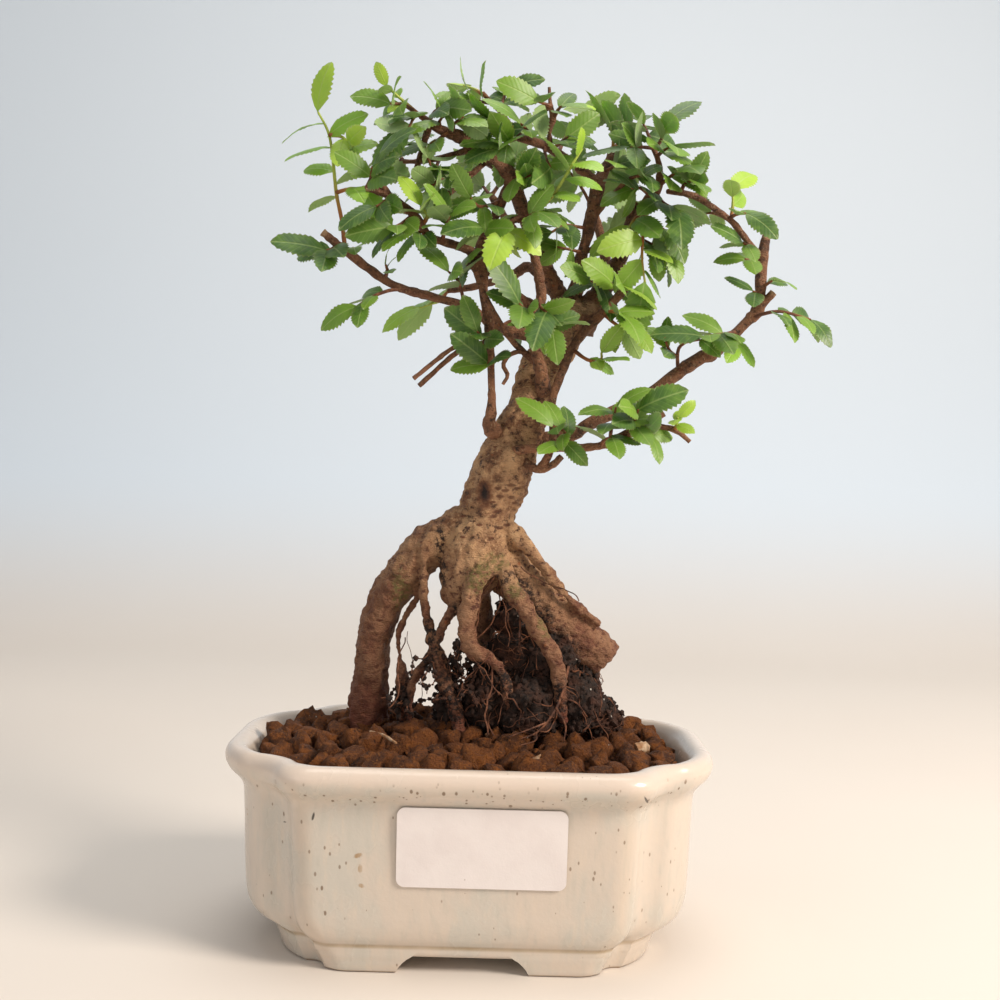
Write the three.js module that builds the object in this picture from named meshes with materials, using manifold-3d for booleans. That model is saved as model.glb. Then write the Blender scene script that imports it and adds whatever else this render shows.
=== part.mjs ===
// A Chinese elm bonsai in its glazed pot, in millimetres with +Z up.
// Routes and outlines are measured from the middle of the pot's underside. At the end the
// whole group is moved, so that its origin is the bottom centre of the box round everything.
import * as THREE from 'three';
import { mergeVertices } from 'three/addons/utils/BufferGeometryUtils.js';
import Module from 'manifold-3d';

// Clearance between neighbouring pieces
const GAP = 0.3;

// Pot: each ring is [height, half front panel, half length, half depth], from the underside
// up the outside, over the rolled lip and down the inside to the floor
const POT_RINGS = [
  [5, 40.8, 58.8, 39.8],
  [7.5, 41.7, 61.2, 41.3],
  [9.5, 43, 64.6, 42.2],
  [13, 45.4, 68.8, 43.2],
  [20, 46.9, 70.3, 43.7],
  [49, 48.5, 71.4, 45.2],
  [51.8, 48.9, 72.4, 46.2],
  [54.2, 49.8, 74.4, 48.3],
  [56.6, 50.8, 76.8, 50.7],
  [59.6, 51, 77.8, 51.7],
  [62, 49.8, 76.6, 50.4],
  [63.2, 47.4, 74.2, 48],
  [62.9, 45.8, 72, 45.8],
  [60.8, 44.8, 69.8, 44],
  [56.5, 44, 67.8, 42.2],
  [15, 43, 66, 39.6],
  [10, 41.5, 62.5, 38],
];
const POT_INSIDE_RINGS = 4;
const RING_AT_SOIL = -3;
const END_PANEL_HALF = 24;
const QUARTER_POINTS = 7;
const CORNER_HOLLOW = 1.9;
const PANEL_EDGE_ROUND = 4;
const SHOULDER_ROUND = 13;
const CORNER_INSET_SHARE = 0.42;
const POT_FLOOR = 10;
const POT_UNDERSIDE = 5;
const POT_TOP = 63.2;
const ROOM_OVER_RIM = 20;

// Feet: one round each indented corner, with sloped ends. The sole is a ring like the pot's. The
// heel is the corner of a foot's inner edge, as shares of its width in from the front panel's edge
const FOOT_SOLE = [0, 38, 58.2, 39.8];
const FOOT_WIDTH = 8;
const FOOT_INNER_X = 19.6;
const FOOT_INNER_Y = 12;
const FOOT_END_INSET = 0.4;
const FOOT_END_SLOPE = 4;
const FOOT_HEEL = [0.4, 1.3];
const FOOT_SINK = 0.6;

// Drain holes and the plastic net laid over each
const DRAIN_RADIUS = 7;
const DRAIN_SIDES = 16;
const DRAIN_X = 32;
const NET_SIZE = 24;
const NET_THICKNESS = 1.2;
const NET_CELLS = 2;
const NET_BAR = 1.8;

// Label on the front panel
const LABEL_SIZE = [50, 24];
const LABEL_THICKNESS = 0.5;
const LABEL_CORNER = 2.5;
const LABEL_X = 5;
const LABEL_LOW = 27.6;

// Soil: its surface is heaped towards the trunk and set with granules
const SOIL_CLEARANCE = 0.6;
const BED_EDGE = 56;
const HEAP_CENTRE = [0, 6];
const HEAP_RISE = 8;
const HEAP_SPREAD = [52, 34];
const GRANULE_SPACING = 13.9;
const GRANULE_RISE = 4.8;
const GRANULE_REACH = [0.3, 0.44];
const GRANULE_LEVEL = [0.7, 1.2];
const VALLEY_SHIFT = 2;
const VALLEY_DROP = 1.8;
const GRANULE_SEED = 7;

// Old soil between the roots: rough lumps, [x, y, z, radius], joined in one body
const PEAT_LUMPS = [
  [6, -2, 75, 10], [19, -5, 74, 11], [32, -1, 76, 11], [-5, 2, 71, 8], [42, 1, 70, 7],
  [12, 1, 88, 9], [25, 1, 89, 10], [15, 3, 101, 8], [25, 4, 100, 6], [36, 2, 83, 6],
];
const LUMP_SWELL = [0.82, 1.18];
const LUMP_SEED = 7;

// Leaves: width and arch for a length of 1, thickness, and the outline's notched edge as
// [share of the length, share of the half width]
const LEAF_WIDTH = 0.5;
const LEAF_THICKNESS = 0.6;
const LEAF_ARCH = 0.07;
const LEAF_OUTLINE = [[0.36, 1], [0.49, 0.76], [0.69, 0.84]];
const LEAF_BASE = 0;
const LEAF_FREE_FROM = 0.2;

// Growth: where leaves start along a shoot, how far they splay from it in radians, at its tip and
// below, their droop and random lift and roll, the angles in degrees tried for a clear place, and
// how many leaves grow for each that is kept
const LEAFY_SHARE = 0.72;
const TIP_SPLAY = [0.4, 0.9];
const SIDE_SPLAY = [0.75, 1.2];
const SIZE_SPREAD = [0.78, 1.18];
const LEAF_DROOP = 0.22;
const LEAF_LIFT = 0.25;
const LEAF_ROLL = 0.55;
const LEAF_SWINGS = [0, 30, -30, 60, -60, 95, -95, 140, -140, 180];
const GROWTH_SEED = 41;
const LEAVES_PER_KEPT = 4;
const TWIG_RADIUS = [0.85, 0.55];

// The light comes from above and in front: leaves behind this depth turn the other way
const CROWN_MIDDLE_X = 22;
const CROWN_TURN_Y = 18;
const CROWN_TURN_RUN = 20;
const FACE_OUTWARD = [0.3, 0.15];
const FACE_LIGHT = 0.75;
const FACE_UP = 0.6;

const COLOURS = {
  pot: [0xd9d0bd, 0.3],
  label: [0xf2efe9, 0.55],
  net: [0x2e2f2e, 0.6],
  soil: [0x6b3a20, 0.95],
  peat: [0x241a16, 0.95],
  bark: [0x8a6248, 0.85],
  leaf: [0x4f7f2c, 0.5],
};

// Roots, trunk and limbs: [sides, route], a route point being [x, y, z, radius]
const TREE_ROUTES = {
  trunk: [8, [
    [-7.5, -3, 106, 3.5], [-4.5, -3, 111, 7.5], [-1.5, -2, 118.5, 9.8], [1, -1, 127.5, 10.2],
    [3, 0, 134.5, 9.7], [5.5, 0, 142.5, 9.4], [8.5, 0, 151.5, 9.7], [11.5, 1, 159.5, 9.3],
    [14.5, 1, 167, 8], [17.5, 2, 175.5, 6.9], [21.5, 3, 185.5, 7.1], [25.5, 4, 194.5, 7.6],
    [29, 4, 202.5, 7.2], [31.5, 4, 207, 5.5],
  ]],
  cut_root: [7, [[8, 2, 121.5, 8], [20, 3, 109.5, 7.5], [32, 3, 99, 7.4], [43.5, 3, 88, 7.1]]],
  left_root: [6, [
    [-3.5, 0, 135, 4.5], [-8.5, 0, 131, 5], [-14.5, 1, 125.5, 6.4], [-20, 2, 119.5, 7],
    [-25, 3, 113.5, 7.1], [-29, 4, 107, 6.6], [-31.5, 5, 99.5, 6.2], [-33.5, 6, 92.5, 5.7],
    [-34, 6, 86, 5.7], [-34.5, 7, 79, 5.8], [-35, 8, 70.5, 6.3], [-35, 8, 58.5, 5], [-35, 8, 50, 3],
  ]],
  second_root: [4, [
    [-12.5, -3, 131, 2.2], [-16.5, -5, 125.5, 2], [-16.5, -5, 119, 1.7], [-16, -6, 107, 1.7],
    [-12, -6, 91.5, 2.5], [-8.5, -7, 81.5, 2.3], [-5, -8, 72, 2.2], [-2.5, -8, 63, 1.8],
  ]],
  second_root_fork: [4, [
    [-12, -6, 92.5, 1.8], [-16.5, -5, 85.5, 1.6], [-19.5, -5, 80, 1.5], [-20, -4, 63.5, 1.3],
  ]],
  hair_root: [3, [
    [-19.5, 1, 117, 1.2], [-19, 0, 108, 0.9], [-21.5, -1, 103.5, 0.8], [-24.5, -1, 96, 0.9],
    [-24, -1, 89, 1], [-23, -1, 81, 2.6], [-22.5, -1, 72.5, 2], [-22.5, -1, 64, 1.2],
  ]],
  low_root: [4, [
    [-1.5, -6, 112, 2.2], [-4.5, -7, 108, 1.9], [-9, -8, 102, 1.6], [-10.5, -8, 97, 1.6],
    [-13, -7, 93, 1.7],
  ]],
  front_root: [4, [
    [9, -7, 124, 2.4], [5, -10, 119, 2.8], [1, -12, 115.5, 3], [-1, -13, 109, 2.5],
    [-2, -13, 102.5, 2.4], [-1.5, -13, 96, 2.3], [1, -13, 92.5, 2.1], [5, -13, 91, 2],
    [9, -13, 87.5, 1.9], [11, -12, 82.5, 1.8], [12, -11, 74, 1.5],
  ]],
  right_front_root: [4, [
    [7.5, -8, 121.5, 2.6], [11.5, -11, 113, 2.6], [15, -12, 108.5, 2.6], [21.5, -13, 99, 2.6],
    [25, -13, 93.5, 2.6], [27, -12, 88, 2.3], [28.5, -11, 80.5, 2], [29.5, -10, 70, 1.7],
  ]],
  cut_root_upper: [4, [
    [9, -3, 135, 1.9], [17.5, -6, 125.5, 1.6], [21, -6, 121, 1.7], [29, -5, 111.5, 1.6],
    [36, -4, 105, 1.5], [41.5, -2, 100.5, 1.2],
  ]],
  back_root: [4, [
    [0, 5, 112, 4.5], [2.5, 9, 100, 4], [5.5, 12, 86, 3.6], [8, 13, 72.5, 3.2], [9, 13, 56, 2.6],
  ]],
  right_back_root: [4, [
    [22, 8, 107.5, 3.5], [27.5, 12, 93.5, 3.2], [31.5, 13, 80, 3], [34.5, 13, 56, 2],
  ]],
  limb_right: [4, [
    [20, 0, 160, 2.8], [30, -2, 162.5, 2.3], [36.5, -2, 166.5, 2.2], [54.5, 0, 176, 2.2],
    [63.5, 1, 183, 2.3], [72, 2, 189, 2.2], [76, 2, 191, 2.6],
  ]],
  limb_low: [4, [
    [10, -6, 156.5, 1.7], [16.5, -11, 157.5, 1.4], [23.5, -12, 158, 1.4], [36, -13, 158.5, 1.3],
  ]],
  stub_curved: [3, [
    [14.5, -6, 154, 1.4], [19.5, -9, 151, 1.2], [24, -9, 152.5, 1.2], [27, -9, 155.5, 1],
  ]],
  stem_beside_trunk: [4, [
    [20, -9, 151.3, 1.2], [22.5, -9, 155, 1.2], [24, -8, 161.5, 1.1], [23.5, -8, 172, 1.2],
    [25, -7, 178.5, 1.3], [27.5, -6, 185, 1.4],
  ]],
  limb_left_front: [4, [
    [6, -3, 162, 3], [3.5, -7, 165, 3.2], [4, -8, 169, 1.7], [4, -9, 176, 1.3], [3, -10, 192, 1.5],
    [2.5, -10, 198.5, 1.6], [1, -10, 204.5, 1.5], [0, -10, 212.5, 1.9], [-2, -10, 217.5, 4.2],
  ]],
  limb_crotch_left: [4, [
    [24, 2, 200, 2.6], [15.5, -1, 205, 1.8], [11.5, -3, 207, 1.6], [7.5, -5, 211, 1.6],
    [-1.5, -10, 217.5, 2.3],
  ]],
  limb_left_up: [4, [
    [-1, -10, 217.5, 2], [0, -9, 224, 1.6], [4, -9, 232.5, 1.6], [7.5, -8, 241, 1.7],
    [9, -8, 245.5, 2.2],
  ]],
  limb_centre_up: [4, [
    [0, -10, 215.5, 1.6], [4.5, -11, 220, 1.4], [8.5, -13, 228.5, 1.2], [12, -14, 230, 1.1],
  ]],
  limb_top_left: [4, [
    [29, 5, 203, 3.6], [24.5, 5, 210.5, 2.7], [21, 3, 217, 2.3], [18, 0, 223, 2.3],
    [14.5, -4, 230, 2.3], [11, -7, 237.5, 2.4], [8.5, -8, 244.5, 2.6], [3, -9, 248.5, 2.5],
  ]],
  limb_left: [4, [
    [22, 1, 193.5, 2.6], [14.5, -1, 195, 2], [6, -3, 196.5, 1.7], [-0.5, -5, 200.5, 1.6],
    [-7, -7, 203.5, 1.5], [-16, -8, 205.5, 1.5],
  ]],
  twig_crossing: [3, [
    [20, -1, 184.5, 1.3], [11, -10, 191, 1], [5, -14, 198.5, 1], [0, -15, 207.5, 0.9],
    [-2, -15, 212.5, 0.8],
  ]],
  twig_bare_upper: [3, [
    [3, -10, 191, 1], [-4.5, -12, 190, 0.8], [-9.5, -14, 188, 0.8], [-20.5, -17, 178.5, 0.7],
  ]],
  twig_bare_lower: [3, [[-3, -11.7, 190.2, 0.9], [-9, -13, 186, 0.8], [-19, -13, 176.5, 0.8]]],
  twig_curled: [3, [
    [21, -1, 187, 0.9], [13, -9, 188.5, 0.8], [9, -9, 187, 0.8], [7.5, -9, 184, 0.7],
    [9, -9, 181, 0.7], [7.5, -9, 178, 0.6],
  ]],
  limb_front: [4, [[21, -3, 176, 2.4], [19.5, -8, 183, 2], [18, -10, 188.5, 1.8]]],
  limb_back_left: [4, [
    [25, 5, 209, 2.2], [16, 11, 219, 1.8], [8.5, 15, 216, 1.5], [-4.5, 19, 213, 1.2],
    [-12.5, 21, 212, 1],
  ]],
  leader_centre: [4, [
    [30, 4, 202, 3.8], [31, 4, 212.5, 2.2], [32.5, 4, 222.5, 1.9], [34.5, 4, 230.5, 2],
    [37, 4, 244.5, 2.4], [38, 4.5, 247.5, 2.1],
  ]],
  leader_centre_fork: [4, [[37, 4, 244, 2], [34.5, 3, 247.5, 1.7], [28.5, 1, 251.5, 1.5]]],
  twig_centre_flat: [3, [[32.5, 4, 223, 1], [38.5, 2, 224.5, 0.7], [47, 7, 223, 0.8]]],
  leader_right: [4, [
    [32, 4, 199, 5.2], [37, 5, 206.5, 4], [40.5, 6, 212, 3], [43.5, 7, 218.5, 2.5], [47, 8, 225, 2.4],
  ]],
  limb_back_right: [4, [[38, 6, 208, 2.6], [41.5, 16, 219.5, 1.9]]],
  limb_back_centre: [4, [[24, 5, 212, 2.2], [17.5, 15, 224, 1.7]]],
};

// Wood of the leafy stems, kept in one piece with their shoots: [sides, route] for each length
const LEAFY_WOOD = {
  spray_left: [
    [4, [
      [-16, -8, 205.5, 1.5], [-25, -10, 207.5, 1.4], [-31, -11, 210, 1.4], [-42.5, -13, 218, 1.5],
      [-50.5, -14, 224, 1.2],
    ]],
  ],
  spray_inner_left: [
    [4, [
      [-2.5, -10, 218, 2.2], [-4.5, -12, 220, 1.4], [-13.5, -16, 222, 1.3], [-16.5, -18, 222.5, 1.4],
      [-21.5, -20, 229, 1.4], [-27, -21, 233, 1.3],
    ]],
    [3, [[-23, -20, 230, 1.2], [-29.5, -23, 234, 1.1], [-36, -23, 236, 0.8]]],
    [3, [[-28.5, -22.6, 233.5, 1.1], [-33, -23, 239, 1.1]]],
  ],
  spray_top_left: [
    [4, [[3, -9, 248.5, 2.5], [-6.5, -11, 255, 2.2], [-14.5, -13, 257.5, 1.5], [-20.5, -15, 261, 1]]],
    [3, [[-5.5, -10, 252, 1], [-14.5, -9, 249.5, 0.9], [-21, -8, 248.5, 0.8], [-32.5, -6, 249, 0.8]]],
    [3, [[-17.5, -14, 259, 1], [-19.5, -13, 252.5, 1], [-22.5, -11, 242, 0.9]]],
    [3, [[1, -9, 249.5, 1], [-4.5, -10, 244, 0.9], [-13, -12, 236, 0.9]]],
  ],
  spray_top: [
    [4, [[28.5, 1, 251.5, 1.5], [19, -1, 256.5, 1.5], [10.5, -4, 258, 1.2]]],
    [3, [[12.5, -3, 257.5, 1.1], [8.5, -4, 261, 0.9], [4.5, -4, 266, 0.8], [-1.5, -6, 271.5, 0.7]]],
    [3, [
      [21, -1, 255.5, 0.9], [20.5, -3, 260.5, 0.7], [21.5, -3, 264.5, 1.1], [20.5, -3, 269.5, 0.7],
      [20, -4, 274.5, 0.5],
    ]],
    [3, [[21.2, -3, 268.5, 0.8], [16.5, -3, 267, 0.8]]],
  ],
  spray_centre_low: [
    [4, [
      [18, -10, 188.5, 1.8], [16.5, -11, 194, 1.7], [16.5, -12, 199, 1.6], [19, -12, 205.5, 1.7],
      [17, -14, 216.5, 1.5], [15, -15, 221.5, 1.2],
    ]],
  ],
  spray_centre_right: [
    [3, [[35.5, 4, 234, 1.1], [39.5, 2, 239, 0.9], [46.5, 0, 246.5, 0.8]]],
  ],
  spray_beside_trunk: [
    [4, [
      [27.5, -6, 185, 1.4], [29.5, -5, 190.5, 1.5], [33.5, -4, 196, 1.6], [38.5, -4, 201.5, 1.6],
      [46.5, -3, 210.5, 1.4],
    ]],
  ],
  spray_top_right: [
    [4, [[38, 4.5, 247.5, 2.1], [39, 5, 250, 1.9], [41, 6, 254, 1.6], [42.5, 6, 258, 1.9]]],
  ],
  spray_right: [
    [4, [
      [47, 8, 225, 2.4], [51.5, 7, 236, 2], [54.5, 6, 242, 1.9], [57, 5, 245, 1.7],
      [57.5, 4, 249, 1.2], [56.5, 2, 253.5, 0.9], [54, 0, 258.5, 0.8],
    ]],
    [3, [[47, 8, 225, 2], [48.5, 9, 233.5, 1.8], [50, 9, 241, 1.7]]],
  ],
  spray_far_right: [
    [4, [
      [76, 2, 191, 2.6], [80.5, 3, 194.5, 1.9], [87.5, 4, 201.5, 1.8], [91, 4, 205.5, 2.1],
      [92, 4, 209, 1.7], [92, 5, 217, 1.8], [92.5, 5, 224, 1.8], [93.5, 5, 231, 1.3],
    ]],
    [3, [[90.5, 4, 204.5, 1.5], [93.5, 4, 208.5, 1.3], [96, 3, 211.5, 1.4]]],
    [4, [
      [92.5, 5, 222.5, 1.4], [88.5, 4, 226.5, 1.1], [82.5, 3, 233.5, 1.1], [79.5, 2, 235.5, 1],
      [70.5, 1, 241, 1.1], [64, 1, 243, 1.1], [60, 3.5, 243.8, 0.9],
    ]],
  ],
  spray_low_right: [
    [4, [
      [36, -13, 158.5, 1.3], [42.5, -13, 160.5, 1.5], [52, -14, 165.5, 1.5], [58.5, -14, 170, 1.4],
    ]],
    [3, [[53, -14, 166.5, 1.1], [58, -14, 165.5, 1], [62.5, -15, 164.5, 1], [67, -15, 161, 0.7]]],
  ],
  spray_back_right: [
    [4, [[41.5, 16, 219.5, 1.9], [40, 24, 233, 1.6], [37, 29, 244.5, 1.3]]],
  ],
  spray_back_centre: [
    [4, [[17.5, 15, 224, 1.7], [8.5, 23, 235.5, 1.4], [1.5, 28, 247, 1.2]]],
  ],
};

// Leafy stems: each shoot is [number of leaves, leaf length, route of its twig]
const SPRAYS = {
  spray_left: [
    [8, 15, [
      [-43.5, -13, 219.5], [-44.5, -14, 227.5], [-46.5, -14, 236.5], [-48, -14, 248.5],
      [-49.5, -14, 255.5], [-52.5, -16, 261],
    ]],
    [3, 12, [[-49, -14, 254.5], [-45, -16, 253.5], [-41, -18, 250]]],
    [3, 13, [[-46.5, -14, 236.5], [-41.5, -16, 237.5], [-37, -18, 236.5]]],
    [4, 15, [[-46, -13, 220], [-47.5, -15, 218.5], [-49, -16, 218]]],
    [2, 12, [[-42.5, -13, 218], [-40.5, -16, 219]]],
    [5, 13, [[-25, -10, 207.5], [-29.5, -12, 206.5], [-35, -13, 204], [-39, -14, 201]]],
    [3, 8, [[-31, -11, 210], [-30, -12, 213], [-30.5, -13, 214.5]]],
  ],
  spray_left_under: [
    [4, 17, [[-12.5, 21, 212], [-14.5, 17, 208], [-18, 13, 206], [-21, 11, 204.5]]],
  ],
  spray_left_mid: [
    [4, 16, [[-5.5, -7, 203.5], [-6.5, -10, 207.5], [-8, -13, 211.5]]],
    [2, 17, [[-7.5, -12, 210.5], [-10.5, -15, 212.5]]],
  ],
  spray_front_left_low: [
    [4, 15, [[3, -10, 190], [1, -13, 192], [-1, -15, 194]]],
  ],
  spray_front_left_foot: [
    [3, 16, [[4, -10, 183], [2.5, -13, 184.5]]],
  ],
  spray_front_left_mid: [
    [4, 15, [[0, -9, 224], [1, -13, 225.5], [0, -17, 226]]],
  ],
  spray_front_left_inner: [
    [3, 17, [[2, -9, 228], [5.5, -14, 227], [7.5, -19, 225]]],
  ],
  spray_centre_front: [
    [6, 15, [[11, -14, 229], [14, -17, 230], [16.5, -19, 231]]],
  ],
  spray_front_left_top: [
    [6, 13, [[6, -8, 237], [2, -13, 234], [-1.5, -16, 233], [-4, -18, 235]]],
  ],
  spray_inner_left: [
    [3, 15, [[-18.5, -19, 226.5], [-17, -22, 228.5], [-19, -25, 230.5]]],
    [4, 15, [[-21.5, -20, 229], [-24.5, -24, 225.5], [-27, -27, 223.5]]],
    [4, 13, [[-16.5, -18, 222.5], [-18, -22, 223], [-20.5, -25, 223]]],
    [5, 14, [[-12.5, -16, 222.5], [-11.5, -19, 226], [-10, -21, 229.5]]],
    [5, 17, [[-36, -23, 236], [-34.5, -25, 238.5], [-34, -26, 242]]],
    [4, 15, [[-28.5, -23, 234], [-30, -27, 231], [-32, -30, 229]]],
  ],
  spray_top_left: [
    [4, 10, [[-20, -15, 260.5], [-24.5, -16, 264], [-28.5, -17, 267], [-31, -18, 269]]],
    [4, 13, [[-22.5, -16, 262], [-26, -18, 263.5], [-29.5, -20, 263]]],
    [5, 16, [[-20, -15, 261], [-22, -19, 259.5], [-23.5, -22, 255]]],
    [3, 13, [[-18, -14, 259.5], [-16, -16, 262], [-14.5, -17, 263]]],
    [5, 14, [[-14, -13, 257.5], [-14.5, -16, 259], [-12.5, -18, 261]]],
    [5, 13, [[-10, -12, 256], [-10, -14, 259], [-7, -15, 261]]],
    [3, 12, [[-12, -13, 256.5], [-14.5, -16, 253.5], [-17, -18, 251.5]]],
    [5, 15, [[-9.5, -11, 239.5], [-11, -14, 241], [-14, -16, 241], [-16.5, -18, 238]]],
    [4, 13, [[-4.5, -10, 244.5], [-7, -13, 245], [-10, -15, 244]]],
    [3, 14, [[-21, -12, 247.5], [-18, -14, 248], [-17, -15, 245.5]]],
    [5, 14, [[-26.5, -7, 249], [-28.5, -2, 253.5], [-28.5, 2, 258]]],
    [4, 14, [[-14.5, -9, 249.5], [-16, -3, 248], [-18, 2, 246]]],
  ],
  spray_top: [
    [5, 15, [[4.5, -4, 266], [5, -3, 269], [5.5, -2, 271.5], [6.5, -2, 273.5]]],
    [3, 14, [[-0.5, -6, 270.5], [-4, -1, 274], [-8, 3, 276.5]]],
    [4, 15, [[2, -5, 268.5], [-2, -8, 268], [-4.5, -10, 268]]],
    [5, 14, [[7.5, -4, 261.5], [4, -9, 262], [1.5, -12, 261]]],
    [5, 15, [[10.5, -4, 258], [7, -9, 255], [4.5, -13, 252]]],
    [5, 14, [[14.5, -3, 257.5], [13.5, -8, 259], [11, -11, 260.5]]],
    [3, 13, [[21.5, -3, 264.5], [23, -5, 267], [24, -6, 268]]],
    [3, 14, [[21, -3, 268.5], [18.5, -6, 268.5], [16.5, -8, 268.5]]],
    [6, 15, [[23.5, 0, 254], [25.5, 9, 260.5], [28, 16, 266.5], [31, 20, 271.5]]],
    [4, 14, [[21.5, -1, 255], [24, -5, 256.5], [26.5, -7, 258]]],
    [5, 14, [[19, -1, 256.5], [19.5, -6, 251], [21, -9, 247.5]]],
  ],
  spray_centre_young: [
    [8, 14, [
      [13.5, -5, 233], [17, -10, 233.5], [19.5, -13, 235], [22.5, -14, 238.5], [25, -15, 242.5],
      [27.5, -15, 247], [30.5, -15, 252],
    ]],
  ],
  spray_centre_upper: [
    [5, 13, [[8.5, -8, 244.5], [11.5, -13, 243], [14.5, -16, 243]]],
  ],
  spray_centre_mid: [
    [7, 14, [[34.5, 4, 231], [30.5, -1, 230.5], [26, -5, 230], [22, -9, 227]]],
  ],
  spray_centre_mid_low: [
    [4, 12, [[33, 4, 223], [28.5, -1, 223], [24, -5, 223]]],
  ],
  spray_centre_low: [
    [4, 16, [[16.5, -12, 199], [14, -16, 201], [12, -19, 202.5]]],
    [4, 15, [[18.5, -12, 206], [18.5, -17, 202], [20.5, -20, 200]]],
    [4, 14, [[16.5, -11, 194.5], [19.5, -16, 196], [22.5, -19, 195]]],
  ],
  spray_centre_shade: [
    [5, 11, [[6, -3, 196.5], [9, 2, 199.5], [12.5, 5, 201]]],
  ],
  spray_centre_right: [
    [4, 12, [[46.5, 0, 246.5], [49.5, -3, 247], [52, -5, 246.5]]],
  ],
  spray_right_low: [
    [4, 16, [[40, 6, 212], [38, 0, 212], [35, -5, 212.5]]],
    [4, 16, [[38.5, 1.5, 212], [42.5, -1, 211], [44.5, -6, 211.5]]],
  ],
  spray_beside_trunk: [
    [4, 14, [[39, -4, 202], [42, -7, 202.5], [44.5, -9, 201.5]]],
    [3, 13, [[39.5, -4, 202], [44, -7, 198], [48.5, -8, 197]]],
    [4, 13, [[30, -5, 190], [34.5, -9, 186.5], [38.5, -11, 186], [38.5, -13, 188.5]]],
  ],
  spray_top_right: [
    [5, 15, [[42.5, 6, 257.5], [44.5, 9, 262], [47, 12, 266.5]]],
    [5, 16, [[41.5, 6, 255], [42.5, 12, 262.5], [41, 15, 269.5], [38, 17, 274]]],
    [4, 13, [[39, 5, 250], [41, 0, 250], [42.5, -3, 250.5]]],
  ],
  spray_right: [
    [5, 15, [[54, 0, 258], [53, 4, 263], [51.5, 7, 267.5]]],
    [3, 15, [[55, 1, 256.5], [57, -2, 259.5], [57, -3, 263]]],
    [4, 18, [[56, 2, 254.5], [57.5, -2, 255.5], [59, -4, 256]]],
    [5, 14, [[54, 0, 257], [50, -4, 256], [46.5, -7, 255]]],
    [5, 16, [[57, 5, 245.5], [60.5, 1, 248], [63, -2, 250]]],
    [4, 15, [[55, 6, 242.5], [51, 1, 244], [47.5, -3, 243]]],
    [6, 17, [[53, 6, 238.5], [52, -1, 232.5], [51.5, -4, 225.5], [51.5, -5, 219], [52.5, -5, 212.5]]],
    [2, 17, [[52.5, 7, 237.5], [49, 1, 233.5], [47.5, -1, 231]]],
    [5, 16, [[56.5, 6, 244], [58.5, 1, 239.5], [62, -2, 237]]],
    [4, 14, [[51.5, 7, 235.5], [54.5, 3, 232], [59, 1, 231]]],
    [5, 14, [[49.5, 8, 230], [53, 4, 227.5], [57, 3, 225.5], [60.5, 2, 224.5]]],
  ],
  spray_far_right: [
    [4, 13, [[64, 1, 243], [65, -3, 245], [67, -6, 245]]],
    [3, 16, [[81, 3, 234], [81.5, 2, 239.5], [81, 1, 244.5]]],
    [3, 13, [[80, 2, 235], [82.5, -1, 236], [85, -2, 236]]],
    [3, 14, [[78, 2, 236], [75.5, 5, 237.5], [73.5, 6, 237.5]]],
    [3, 13, [[92, 5, 223], [88, 3, 222], [86, 2, 222]]],
    [3, 13, [[89, 4, 226.5], [86.5, 0, 226], [84.5, -2, 226.5]]],
    [2, 13, [[92, 5, 213], [93.5, 2, 214], [95, 1, 215]]],
    [2, 13, [[91.5, 4, 211], [89, 2, 211.5]]],
    [7, 14, [[88.5, 4, 202.5], [92.5, 0, 204], [98, -2, 204.5], [107, -3, 202]]],
    [6, 15, [[85, 4, 198.5], [80, -1, 197], [75, -4, 196], [72, -5, 195.5]]],
    [2, 11, [[83, 3, 197], [83.5, -1, 193.5]]],
  ],
  spray_right_knobbly: [
    [1, 11, [[65, 1, 184], [64.5, 0, 190.5], [65.5, -2, 193], [68, -3, 194], [71, -4, 194.5]]],
    [4, 14, [[64.5, 0, 189], [61.5, -2, 191], [60, -4, 193.5]]],
  ],
  spray_low_right: [
    [5, 15, [[42, -13, 160.5], [42, -16, 164], [42.5, -18, 167.5], [43, -19, 171]]],
    [5, 15, [[47.5, -13, 163.5], [49, -17, 166.5], [50, -19, 170.5]]],
    [3, 13, [[50, -14, 164.5], [52, -17, 163.5], [54, -18, 162.5]]],
    [3, 14, [[39, -13, 159], [40, -17, 161], [42, -19, 161.5]]],
    [4, 9, [[62, -15, 164.5], [62.5, -17, 166.5], [62.5, -18, 168.5]]],
  ],
  spray_low_front: [
    [5, 13, [[30.5, -12, 158], [28, -16, 162], [26, -18, 164], [23.5, -19, 164.5]]],
    [2, 12, [[28, -15, 161], [27, -18, 159.5]]],
  ],
  spray_back_right: [
    [7, 15, [[38, 28, 242], [41.5, 32, 248.5], [46, 36, 254]]],
    [5, 15, [[40, 23, 231], [44.5, 29, 236.5], [48, 33, 241.5]]],
    [7, 15, [[37, 29, 244], [33, 31, 251.5], [28, 32, 258]]],
  ],
  spray_back_centre: [
    [7, 15, [[3, 27, 244], [-1.5, 32, 251], [-6, 36, 256.5]]],
    [5, 15, [[8.5, 23, 235.5], [5, 29, 234], [1, 33, 233]]],
    [6, 15, [[1.5, 28, 246], [6, 30, 253.5], [10, 31, 260]]],
  ],
};

const wasm = await Module();
wasm.setup();
const { lerp } = THREE.MathUtils;
const TUBE_START = new THREE.Vector3(0.3, -0.9, 0.2);

// A closed geometry as a solid that can be joined and cut
function solid(geometry) {
  geometry.deleteAttribute('normal');
  geometry.deleteAttribute('uv');
  const merged = mergeVertices(geometry);
  return new wasm.Manifold(new wasm.Mesh({
    numProp: 3,
    vertProperties: new Float32Array(merged.attributes.position.array),
    triVerts: new Uint32Array(merged.index.array),
  }));
}

function join(solids) {
  return solids.reduce((whole, piece) => whole.add(piece));
}

// The largest piece of a cut solid, without loose scraps
function largest(whole) {
  const pieces = whole.decompose();
  return pieces.reduce((best, piece) => (piece.volume() > best.volume() ? piece : best));
}

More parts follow.
